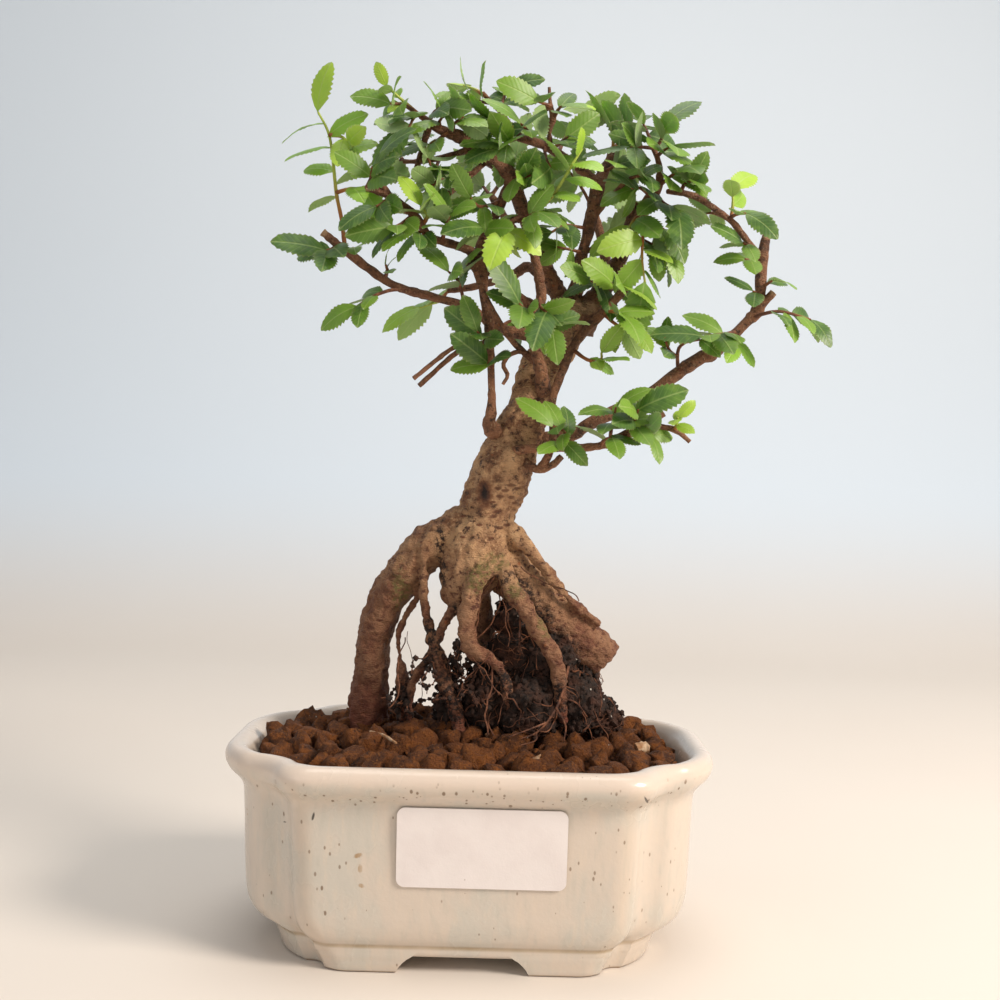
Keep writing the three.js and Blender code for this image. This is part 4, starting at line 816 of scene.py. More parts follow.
def stem(route, sides, step, wander=0.0, flare=0.0, dome=0.5, seed=0):
    """A round stem as points and faces through a route of (x, y, z, radius)"""
    rows = smooth_rows(route, STEM_STEPS)
    lengths = np.concatenate([[0], np.cumsum(np.linalg.norm(np.diff(rows[:, :3], axis=0), axis=1))])
    count = max(int(lengths[-1] / step), 2) + 1
    places = np.linspace(0, lengths[-1], count)
    rows = np.column_stack([np.interp(places, lengths, rows[:, k]) for k in range(4)])
    centres, radii = rows[:, :3], rows[:, 3].copy()
    tangents = np.gradient(centres, axis=0)
    tangents /= np.linalg.norm(tangents, axis=1)[:, None]
    radii *= 1 + flare * np.exp(-places / (FLARE_RUN * radii[0]))
    across = np.cross(FIRST_ACROSS, tangents[0])
    rings = []
    turns = np.arange(sides) * math.tau / sides
    for centre, tangent, radius in zip(centres, tangents, radii):
        across = across - tangent * across.dot(tangent)
        across /= np.linalg.norm(across)
        other = np.cross(tangent, across)
        ring = []
        for turn in turns:
            way = across * math.cos(turn) + other * math.sin(turn)
            swell = 1
            if wander:
                at = (centre + way * radius * 0.6) / max(2.6 * radius, 1.5) + seed
                swell += wander * noise.noise(Vector(at))
            ring.append(centre + way * radius * swell)
        rings.append(ring)
    start = centres[0] - tangents[0] * radii[0] * FOOT_DOME
    end = centres[-1] + tangents[-1] * radii[-1] * dome
    points = [p for ring in rings for p in ring] + [start, end]
    last = (count - 1) * sides
    faces = loft_faces(sides, count)[:-2]
    faces += [(count * sides, (j + 1) % sides, j) for j in range(sides)]
    faces += [(count * sides + 1, last + j, last + (j + 1) % sides) for j in range(sides)]
    return points, faces


peat, tree, shell, mm = finish("peaty_soil", 0.95)
crumb = clouds(tree, mm, 1.6, 5.0, 0.7)
damp = clouds(tree, mm, 8)
flecks = placed(tree, specks, Vector=mm, Pitch=2.4, Share=0.12, Radius=0.42)
colour = blended(tree, eased(tree, crumb, 0.35, 0.7), "170e09", "3f281b")
colour = washes(tree, colour, [(eased(tree, damp, 0.45, 0.7), 0.6, "57301d"), (flecks, 1, "d8cfc2")])
tree.links.new(colour, shell["Base Color"])
tree.links.new(sums(tree, "MULTIPLY_ADD", damp, 0.3, 0.7), shell["Roughness"])
ridged(tree, shell, crumb, 1.3)
balls = [ball(np.array(centre), radius * PEAT_BALL_SHARE) for *centre, radius in PEAT_LUMPS]
root_soil = remeshed("root_soil_lump", balls, PEAT_VOXEL, peat, smoothing=3)
roughened(root_soil, PEAT_WAVES)

rootlet_skin, tree, shell, mm = finish("rootlets", 0.7)
fade = clouds(tree, mm, 3)
tree.links.new(blended(tree, eased(tree, fade, 0.35, 0.7), "40200f", "8a5638"), shell["Base Color"])
ridged(tree, shell, clouds(tree, mm, 0.4, 2.0), 0.15)
surface = BVHTree.FromPolygons([v.co[:] for v in root_soil.data.vertices],
                               [p.vertices[:] for p in root_soil.data.polygons])
draw = drawer(PEAT_SEED)


def centred():
    """Three numbers from -0.5 to 0.5"""
    return Vector([next(draw) - 0.5 for _ in range(3)])


shells = [stem(route, sides=5, step=0.9, wander=0.2) for route in ROOTLET_FAN]
for _ in range(ROOTLETS):
    *centre, radius = PEAT_LUMPS[int(next(draw) * len(PEAT_LUMPS))]
    place = Vector(centre) + centred().normalized() * radius
    heading = (centred() + Vector((0, 0, -0.5))).normalized()
    thickness = 0.12 + 0.3 * next(draw) ** 3
    lift = 1.6 * next(draw) ** 2
    route = []
    for step in range(ROOTLET_STEPS):
        near, normal, *_ = surface.find_nearest((place / 1000) + Vector(pot_middle))
        place = (near - Vector(pot_middle)) * 1000 + normal * (thickness + lift * next(draw))
        route.append((*place, thickness * (1 - 0.5 * step / ROOTLET_STEPS)))
        heading = (heading + ROOTLET_CURL * centred() - normal * normal.dot(heading)).normalized()
        place = place + heading * ROOTLET_STRIDE
    shells.append(stem(route, sides=5, step=0.9))


def hairs(starts, each, most_steps, curl):
    """Hair roots that hang from each start, as shapes"""
    out = []
    for start in starts:
        for _ in range(each):
            place = Vector(start) + centred() * HAIR_SPREAD
            heading = (centred() + Vector((0, 0, -0.8))).normalized()
            thickness = 0.11 + 0.2 * next(draw) ** 2
            route = []
            while place.z > HAIR_END_Z and len(route) < most_steps:
                route.append((*place, thickness))
                heading = (heading + curl * centred() + Vector((0, 0, -0.2))).normalized()
                place = place + heading * HAIR_STRIDE
            if len(route) >= HAIR_LEAST_POINTS:
                out.append(stem(route, sides=5, step=1.0))
    return out


shells += hairs(HAIR_STARTS, HAIRS_EACH, *LOOSE_WAY)
rootlets = thing("rootlets", *merged(shells), [rootlet_skin], smooth_below=60)
clotted_shells = hairs(CLOTTED_STARTS, CLOTTED_EACH, *CLOTTED_WAY)
clotted = thing("clotted_hairs", *merged(clotted_shells), [rootlet_skin], smooth_below=60)


def strewn(name, base, sizes):
    """Crumbs of peat scattered over another object's skin"""
    made = bpy.data.objects.new(name, base.data.copy())
    bpy.context.scene.collection.objects.link(made)
    return lumps_over(made, *sizes, crumb_kinds, peat)


root_crumbs = strewn("root_soil_crumbs", root_soil, ROOT_CRUMBS)
clods = strewn("hair_root_clods", clotted, HAIR_CLODS)
for piece in (root_crumbs, clods):
    soften(piece.data, 60)
for piece in (root_soil, rootlets, clotted, root_crumbs, clods):
    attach(piece, "root")
    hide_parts("old_root_soil")

# Litter
# Bits that lie on the granules: dry straws, a pale stalk end and a few light crumbs of mineral.
LITTER = [
    [(-31.6, -15.1, 66.5, 0.45), (-26.9, -21, 66.8, 0.5), (-22.3, -27.9, 66, 0.4)],
    [(51.5, 25, 66, 0.3), (46, 22, 67, 0.35), (40, 21, 66.5, 0.25)],
    [(18.6, -33.2, 61.5, 1.5), (20.2, -34.4, 63.2, 1.2), (21.8, -35.3, 65.4, 0.15)],
    [(44.6, 15.6, 66.2, 1.5), (46.3, 15.2, 67.4, 1.3)],
    [(53.2, -13.9, 62.6, 2.4), (56.6, -13.2, 63.6, 2)],
    [(5.2, -9.8, 65, 0.9), (6, -9.4, 65.6, 0.8)],
]
dry, tree, shell, mm = finish("dry_litter", 0.85)
fade = clouds(tree, mm, 2.5, 4.0)
tree.links.new(blended(tree, eased(tree, fade, 0.35, 0.7), "9c6f48", "cdb090"), shell["Base Color"])
ridged(tree, shell, clouds(tree, mm, 0.8), 0.4)
bits = [stem(route, sides=7, step=0.7, wander=0.3, seed=k) for k, route in enumerate(LITTER)]
litter = thing("litter", *merged(bits), [dry], smooth_below=60)
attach(litter, "root")

# Tree
# A field-grown elm with its roots bared: stout roots run down from the leaning trunk, one sawn
# off short, and slim limbs cross through the crown. Trunk and roots are one skin, and each limb
# or twig is a stem of its own.

# Points (x, y, z, radius) along each root, trunk or limb
TREE_ROUTES = {
    "trunk": [(-7.5, -3, 106, 3.5), (-4.5, -3, 111, 7.5), (-1.5, -2, 118.5, 9.8), (1, -1, 127.5, 10.2),
        (3, 0, 134.5, 9.7), (5.5, 0, 142.5, 9.4), (8.5, 0, 151.5, 9.7), (11.5, 1, 159.5, 9.3),
        (14.5, 1, 167, 8), (17.5, 2, 175.5, 6.9), (21.5, 3, 185.5, 7.1), (25.5, 4, 194.5, 7.6),
        (29, 4, 202.5, 7.2), (31.5, 4, 207, 5.5)],
    "cut_root": [(8, 2, 121.5, 8), (20, 3, 109.5, 7.5), (32, 3, 99, 7.4), (43.5, 3, 88, 7.1)],
    "left_root": [(-3.5, 0, 135, 4.5), (-8.5, 0, 131, 5), (-14.5, 1, 125.5, 6.4), (-20, 2, 119.5, 7),
        (-25, 3, 113.5, 7.1), (-29, 4, 107, 6.6), (-31.5, 5, 99.5, 6.2), (-33.5, 6, 92.5, 5.7),
        (-34, 6, 86, 5.7), (-34.5, 7, 79, 5.8), (-35, 8, 70.5, 6.3), (-35, 8, 58.5, 5), (-35, 8, 50, 3)],
    "second_root": [(-12.5, -3, 131, 2.2), (-16.5, -5, 125.5, 2), (-16.5, -5, 119, 1.7),
        (-16, -6, 107, 1.7), (-12, -6, 91.5, 2.5), (-8.5, -7, 81.5, 2.3), (-5, -8, 72, 2.2),
        (-2.5, -8, 63, 1.8)],
    "second_root_fork": [(-12, -6, 92.5, 1.8), (-16.5, -5, 85.5, 1.6), (-19.5, -5, 80, 1.5),
        (-20, -4, 63.5, 1.3)],
    "hair_root": [(-19.5, 1, 117, 1.2), (-19, 0, 108, 0.9), (-21.5, -1, 103.5, 0.8),
        (-24.5, -1, 96, 0.9), (-24, -1, 89, 1), (-23, -1, 81, 2.6), (-22.5, -1, 72.5, 2),
        (-22.5, -1, 64, 1.2)],
    "low_root": [(-1.5, -6, 112, 2.2), (-4.5, -7, 108, 1.9), (-9, -8, 102, 1.6), (-10.5, -8, 97, 1.6),
        (-13, -7, 93, 1.7)],
    "front_root": [(9, -7, 124, 2.4), (5, -10, 119, 2.8), (1, -12, 115.5, 3), (-1, -13, 109, 2.5),
        (-2, -13, 102.5, 2.4), (-1.5, -13, 96, 2.3), (1, -13, 92.5, 2.1), (5, -13, 91, 2),
        (9, -13, 87.5, 1.9), (11, -12, 82.5, 1.8), (12, -11, 74, 1.5)],
    "right_front_root": [(7.5, -8, 121.5, 2.6), (11.5, -11, 113, 2.6), (15, -12, 108.5, 2.6),
        (21.5, -13, 99, 2.6), (25, -13, 93.5, 2.6), (27, -12, 88, 2.3), (28.5, -11, 80.5, 2),
        (29.5, -10, 70, 1.7)],
    "cut_root_upper": [(9, -3, 135, 1.9), (12, -4.5, 130, 3.2), (17.5, -6, 125.5, 1.7), (21, -6, 121, 1.7),
        (29, -5, 111.5, 1.6), (36, -4, 105, 1.5), (41.5, -2, 100.5, 1.2)],
    "back_root": [(0, 5, 112, 4.5), (2.5, 9, 100, 4), (5.5, 12, 86, 3.6), (8, 13, 72.5, 3.2),
        (9, 13, 56, 2.6)],
    "right_back_root": [(22, 8, 107.5, 3.5), (27.5, 12, 93.5, 3.2), (31.5, 13, 80, 3), (34.5, 13, 56, 2)],
    "limb_right": [(20, 0, 160, 2.8), (30, -2, 162.5, 2.3), (36.5, -2, 166.5, 2.2), (54.5, 0, 176, 2.2),
        (63.5, 1, 183, 2.3), (72, 2, 189, 2.2), (76, 2, 191, 2.6), (80.5, 3, 194.5, 1.9),
        (87.5, 4, 201.5, 1.8), (91, 4, 205.5, 2.1), (92, 4, 209, 1.7), (92, 5, 217, 1.8),
        (92.5, 5, 224, 1.8), (93.5, 5, 231, 1.3)],
    "limb_right_stub": [(90.5, 4, 204.5, 1.5), (93.5, 4, 208.5, 1.3), (96, 3, 211.5, 1.4)],
    "limb_right_loop": [(92.5, 5, 222.5, 1.4), (88.5, 4, 226.5, 1.1), (82.5, 3, 233.5, 1.1),
        (79.5, 2, 235.5, 1), (70.5, 1, 241, 1.1), (64, 1, 243, 1.1), (60, 3.5, 243.8, 0.9)],
    "limb_low": [(10, -6, 156.5, 1.7), (16.5, -11, 157.5, 1.4), (23.5, -12, 158, 1.4),
        (36, -13, 158.5, 1.3), (42.5, -13, 160.5, 1.5), (52, -14, 165.5, 1.5), (58.5, -14, 170, 1.4)],
    "limb_low_side": [(53, -14, 166.5, 1.1), (58, -14, 165.5, 1), (62.5, -15, 164.5, 1),
        (67, -15, 161, 0.7)],
    "stub_curved": [(14.5, -6, 154, 1.4), (19.5, -9, 151, 1.2), (24, -9, 152.5, 1.2), (27, -9, 155.5, 1)],
    "stem_beside_trunk": [(20, -9, 151.3, 1.2), (22.5, -9, 155, 1.2), (24, -8, 161.5, 1.1),
        (23.5, -8, 172, 1.2), (25, -7, 178.5, 1.3), (27.5, -6, 185, 1.4), (29.5, -5, 190.5, 1.5),
        (33.5, -4, 196, 1.6), (38.5, -4, 201.5, 1.6), (46.5, -3, 210.5, 1.4)],
    "limb_left_front": [(6, -3, 162, 2.4), (3.5, -7, 165, 2.4), (4, -8, 169, 1.6), (4, -9, 176, 1.3),
        (3, -10, 192, 1.5), (2.5, -10, 198.5, 1.6), (1, -10, 204.5, 1.5), (0, -10, 212.5, 1.9),
        (-2, -10, 217.5, 4.2)],
    "limb_crotch_left": [(24, 2, 200, 2.6), (15.5, -1, 205, 1.8), (11.5, -3, 207, 1.6),
        (7.5, -5, 211, 1.6), (-1.5, -10, 217.5, 2.3)],
    "limb_left_up": [(-1, -10, 217.5, 2), (0, -9, 224, 1.6), (4, -9, 232.5, 1.6), (7.5, -8, 241, 1.7),
        (9, -8, 245.5, 2.2)],
    "limb_centre_up": [(0, -10, 215.5, 1.6), (4.5, -11, 220, 1.4), (8.5, -13, 228.5, 1.2),
        (12, -14, 230, 1.1)],
    "limb_top_left": [(29, 5, 203, 3.6), (24.5, 5, 210.5, 2.7), (21, 3, 217, 2.3), (18, 0, 223, 2.3),
        (14.5, -4, 230, 2.3), (11, -7, 237.5, 2.4), (8.5, -8, 244.5, 2.6), (3, -9, 248.5, 2.5),
        (-6.5, -11, 255, 2.2), (-14.5, -13, 257.5, 1.5), (-20.5, -15, 261, 1)],
    "twig_top_left_flat": [(-5.5, -10, 252, 1), (-14.5, -9, 249.5, 0.9), (-21, -8, 248.5, 0.8),
        (-32.5, -6, 249, 0.8)],
    "twig_top_left_drop": [(-17.5, -14, 259, 1), (-19.5, -13, 252.5, 1), (-22.5, -11, 242, 0.9)],
    "twig_top_left_under": [(1, -9, 249.5, 1), (-4.5, -10, 244, 0.9), (-13, -12, 236, 0.9)],
    "limb_left": [(22, 1, 193.5, 2.6), (14.5, -1, 195, 2), (6, -3, 196.5, 1.7), (-0.5, -5, 200.5, 1.6),
        (-7, -7, 203.5, 1.5), (-16, -8, 205.5, 1.5), (-25, -10, 207.5, 1.4), (-31, -11, 210, 1.4),
        (-42.5, -13, 218, 1.5), (-50.5, -14, 224, 1.2)],
    "limb_left_inner": [(-2.5, -10, 218, 2.2), (-4.5, -12, 220, 1.4), (-13.5, -16, 222, 1.3),
        (-16.5, -18, 222.5, 1.4), (-21.5, -20, 229, 1.4), (-27, -21, 233, 1.3)],
    "limb_left_inner_far": [(-23, -20, 230, 1.2), (-29.5, -23, 234, 1.1), (-36, -23, 236, 0.8)],
    "limb_left_inner_stub": [(-28.5, -22.6, 233.5, 1.1), (-33, -23, 239, 1.1)],
    "twig_crossing": [(20, -1, 184.5, 1.3), (11, -10, 191, 1), (5, -14, 198.5, 1), (0, -15, 207.5, 0.9),
        (-2, -15, 212.5, 0.8)],
    "twig_bare_upper": [(3, -10, 191, 1), (-4.5, -12, 190, 0.8), (-9.5, -14, 188, 0.8),
        (-20.5, -17, 178.5, 0.7)],
    "twig_bare_lower": [(-3, -11.7, 190.2, 0.9), (-9, -13, 186, 0.8), (-19, -13, 176.5, 0.8)],
    "twig_curled": [(21, -1, 187, 0.9), (13, -9, 188.5, 0.8), (9, -9, 187, 0.8), (7.5, -9, 184, 0.7),
        (9, -9, 181, 0.7), (7.5, -9, 178, 0.6)],
    "limb_front": [(21, -3, 176, 2.4), (19.5, -8, 183, 2), (18, -10, 188.5, 1.8), (16.5, -11, 194, 1.7),
        (16.5, -12, 199, 1.6), (19, -12, 205.5, 1.7), (17, -14, 216.5, 1.5), (15, -15, 221.5, 1.2)],
    "limb_back_left": [(25, 5, 209, 2.2), (16, 11, 219, 1.8), (8.5, 15, 216, 1.5), (-4.5, 19, 213, 1.2),
        (-12.5, 21, 212, 1)],
    "leader_centre": [(30, 4, 202, 3.8), (31, 4, 212.5, 2.2), (32.5, 4, 222.5, 1.9), (34.5, 4, 230.5, 2),
        (37, 4, 244.5, 2.4), (38, 4.5, 247.5, 2.1), (39, 5, 250, 1.9), (41, 6, 254, 1.6),
        (42.5, 6, 258, 1.9)],
    "leader_centre_fork": [(37, 4, 244, 2), (34.5, 3, 247.5, 1.7), (28.5, 1, 251.5, 1.5),
        (19, -1, 256.5, 1.5), (10.5, -4, 258, 1.2)],
    "twig_top": [(12.5, -3, 257.5, 1.1), (8.5, -4, 261, 0.9), (4.5, -4, 266, 0.8), (-1.5, -6, 271.5, 0.7)],
    "twig_top_bare": [(21, -1, 255.5, 0.9), (20.5, -3, 260.5, 0.7), (21.5, -3, 264.5, 1.1),
        (20.5, -3, 269.5, 0.7), (20, -4, 274.5, 0.5)],
    "twig_top_bare_side": [(21.2, -3, 268.5, 0.8), (16.5, -3, 267, 0.8)],
    "twig_centre_right": [(35.5, 4, 234, 1.1), (39.5, 2, 239, 0.9), (46.5, 0, 246.5, 0.8)],
    "twig_centre_flat": [(32.5, 4, 223, 1), (38.5, 2, 224.5, 0.7), (47, 7, 223, 0.8)],
    "leader_right": [(32, 4, 199, 5.2), (37, 5, 206.5, 4), (40.5, 6, 212, 3), (43.5, 7, 218.5, 2.5),
        (47, 8, 225, 2.4), (51.5, 7, 236, 2), (54.5, 6, 242, 1.9), (57, 5, 245, 1.7),
        (57.5, 4, 249, 1.2), (56.5, 2, 253.5, 0.9), (54, 0, 258.5, 0.8)],
    "leader_right_stub": [(47, 8, 225, 2), (48.5, 9, 233.5, 1.8), (50, 9, 241, 1.7)],
    "limb_back_right": [(38, 6, 208, 2.6), (41.5, 16, 219.5, 1.9), (40, 24, 233, 1.6),
        (37, 29, 244.5, 1.3)],
    "limb_back_centre": [(24, 5, 212, 2.2), (17.5, 15, 224, 1.7), (8.5, 23, 235.5, 1.4),
        (1.5, 28, 247, 1.2)],
}
STOUT = (
    "trunk", "cut_root", "left_root", "second_root", "second_root_fork", "low_root", "front_root",
    "right_front_root", "cut_root_upper", "back_root", "right_back_root", "hair_root",
)
BARK_VOXEL = 0.62
BARK_WAVES = [(9, 1.1, (1, 1, 2.2)), (2.8, 0.8, (1, 1, 1.3)), (1.3, 0.5, (1.3, 1.3, 1))]
STOUT_DOME = 0.25
CUT_ROOT_DOME = 0.03
SLIM_SEED_STEP = 3.7

# Moss on the bark: the middle and reach of each patch, as in the lists below
MOSS = [
    ((1, -14, 116), (5, 5, 6)), ((6, -12, 121), (6, 6, 4)), ((13, -12, 112), (4, 5, 4)),
    ((23, -13, 104), (3.5, 5, 9)), ((-24, -1, 112), (4, 6, 10)),
]
# The wound's middle and lean, and the reach and tone of its rings; the near-black middle is painted shade
# for the wound's hole, which the skin doesn't have
WOUND = ((2.6, -10, 143), 0.12)
WOUND_RINGS = [((3.4, 6, 6), "7a4a2e"), ((1.9, 6, 4), "43261a"), ((1, 6, 2.4), "160d08")]
# Old buds in a cluster on the front of the trunk: x and z
BUD_Y = -9
BUD_REACH = (1.5, 7, 0.7)
OLD_BUDS = [
    (6.9, 144.7), (11.2, 145.8), (13.2, 144.7), (9.2, 144), (7.5, 142.1), (11.3, 141.9), (7, 137.3),
    (10, 132.9), (7.7, 131.9), (5.6, 135.6), (12.6, 140),
]
# Soil that still clings to the roots
CLINGING = [
    ((10, -9, 116), (5, 7, 3.5)), ((16, -8, 111), (6, 7, 6)), ((20, -6, 103), (7, 7, 7)),
    ((28, -4, 92), (8, 8, 8)), ((-14, -6, 94), (6, 6, 12)), ((-6, -7, 76), (8, 7, 14)),
    ((-22, -2, 74), (5, 6, 10)), ((12, -12, 82), (5, 6, 10)), ((28, -11, 78), (5, 6, 9)),
    ((-11.5, -5, 127), (2, 6, 9)), ((-10.5, -6, 117), (2.5, 6, 6)), ((-3, -8, 105), (5, 7, 4)),
]
# Bare wood where a limb was cut
PALE_CUTS = [
    ((33, 0, 204.5), (6.5, 7, 2.8)), ((-50.5, -14, 224), (2, 2, 2)), ((-36, -23, 236), (1.6, 2, 1.6)),
    ((-33, -23, 239), (1.6, 2, 1.6)), ((93.5, 5, 231), (1.9, 3, 2.4)), ((96, 3, 211.5), (1.8, 2, 1.8)),
]


def bark_finish(name, light, shade, deep, reddish):
    """Elm bark: flaking patches, dark cracks, rusty lenticels lying across, moss and old wounds, with
    painted shade low down, on the left and in the wound's hole
    """
    made, tree, skin, mm = finish(name, 0.78)
    x, _, z = parts_of(tree, mm)
    broad = clouds(tree, mm, 9, 4.0)
    flake = clouds(tree, stretched(tree, mm, (0.8, 0.8, 1.1)), 2.2, 5.0, 0.68)
    fine = clouds(tree, stretched(tree, mm, (0.6, 0.6, 1.6)), 0.7)
    scrapes = clouds(tree, stretched(tree, mm, (1.6, 1.6, 0.7)), 1.1, 4.0, 0.7)
    across_stem = stretched(tree, mm, (0.5, 0.5, 1.35))
    lenticels = placed(tree, specks, Vector=across_stem, Pitch=2.3, Share=0.3, Radius=0.62)
    rusty = placed(tree, specks, Vector=mm, Pitch=4.6, Share=0.25, Radius=0.75)
    # Painted shade: the bark is darker towards the roots and on the left side, away from the key lamp
    painted_shade_low, red_foot, high_up = [eased(tree, z, *ends) for ends in ((132, 98), (84, 64), (196, 214))]
    left_root = eased(tree, x, -6, -16)
    colour = blended(tree, eased(tree, broad, 0.34, 0.68), light, shade)
    colour = washes(tree, colour, [
        (eased(tree, flake, 0.5, 0.64), 0.85, light), (eased(tree, flake, 0.48, 0.36), 1, deep),
        (eased(tree, scrapes, 0.56, 0.68), 0.5, "cfae86"), (painted_shade_low, 0.6, "6b3524"),
        (left_root, 0.35, "70452b"), (red_foot, 0.6, "7a3420"), (high_up, reddish, "6b4430"),
        (lenticels, 0.8, "6f3a22"), (rusty, 0.7, "a65f35"),
    ])
    tufts = eased(tree, clouds(tree, mm, 1.3, 4.0), 0.36, 0.6)
    clods = eased(tree, clouds(tree, mm, 1.8, 5.0, 0.7), 0.42, 0.56)
    colour = marked(tree, colour, mm, MOSS, times(tree, tufts, 0.65), "6c6a33")
    colour = marked(tree, colour, mm, CLINGING, clods, "27170f")
    # The wound's rings, the last one painted shade for its hole
    for reach, tone in WOUND_RINGS:
        colour = marked(tree, colour, mm, [(WOUND[0], reach, WOUND[1])], 0.85, tone)
    buds = [((bud_x, BUD_Y, bud_z), BUD_REACH) for bud_x, bud_z in OLD_BUDS]
    colour = marked(tree, colour, mm, buds, 0.8, "5a301d")
    colour = marked(tree, colour, mm, PALE_CUTS, 0.75, "c7a27c")
    tree.links.new(colour, skin["Base Color"])
    tree.links.new(sums(tree, "MULTIPLY_ADD", flake, 0.3, 0.55), skin["Roughness"])
    relief = sums(tree, "MULTIPLY_ADD", fine, 0.5, times(tree, lenticels, 0.35))
    ridged(tree, skin, sums(tree, "ADD", flake, relief), 2.0)
    return made


bark = bark_finish("bark", "ca9f74", "845a3d", "4d2f1d", 0.5)
limb_bark = bark_finish("limb_bark", "99694a", "68452f", "43291b", 0.25)

domes = {name: CUT_ROOT_DOME if name == "cut_root" else STOUT_DOME for name in STOUT}
stout = [stem(TREE_ROUTES[name], sides=28, step=1.2, wander=0.16, flare=0.05, dome=domes[name], seed=k)
         for k, name in enumerate(STOUT)]
trunk = remeshed("trunk_and_roots", stout, BARK_VOXEL, bark, smoothing=2)
roughened(trunk, BARK_WAVES)
slim = [stem(route, sides=10, step=1.2, wander=0.26, flare=0.2, dome=0.12, seed=SLIM_SEED_STEP * k)
        for k, (name, route) in enumerate(TREE_ROUTES.items()) if name not in STOUT]
limbs = thing("limbs", *merged(slim), [limb_bark], smooth_below=50)
for piece in (trunk, limbs):
    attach(piece, "root")
    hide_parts("tree")

# Leafy stems
# Young twigs with small saw-edged leaves in two ranks: dark and leathery on old shoots, lime and
# soft on new ones. They grow by the frame's own rule; the frame has every fourth from the tip.
GREEN, LIGHT, YOUNG = 0, 0.45, 1
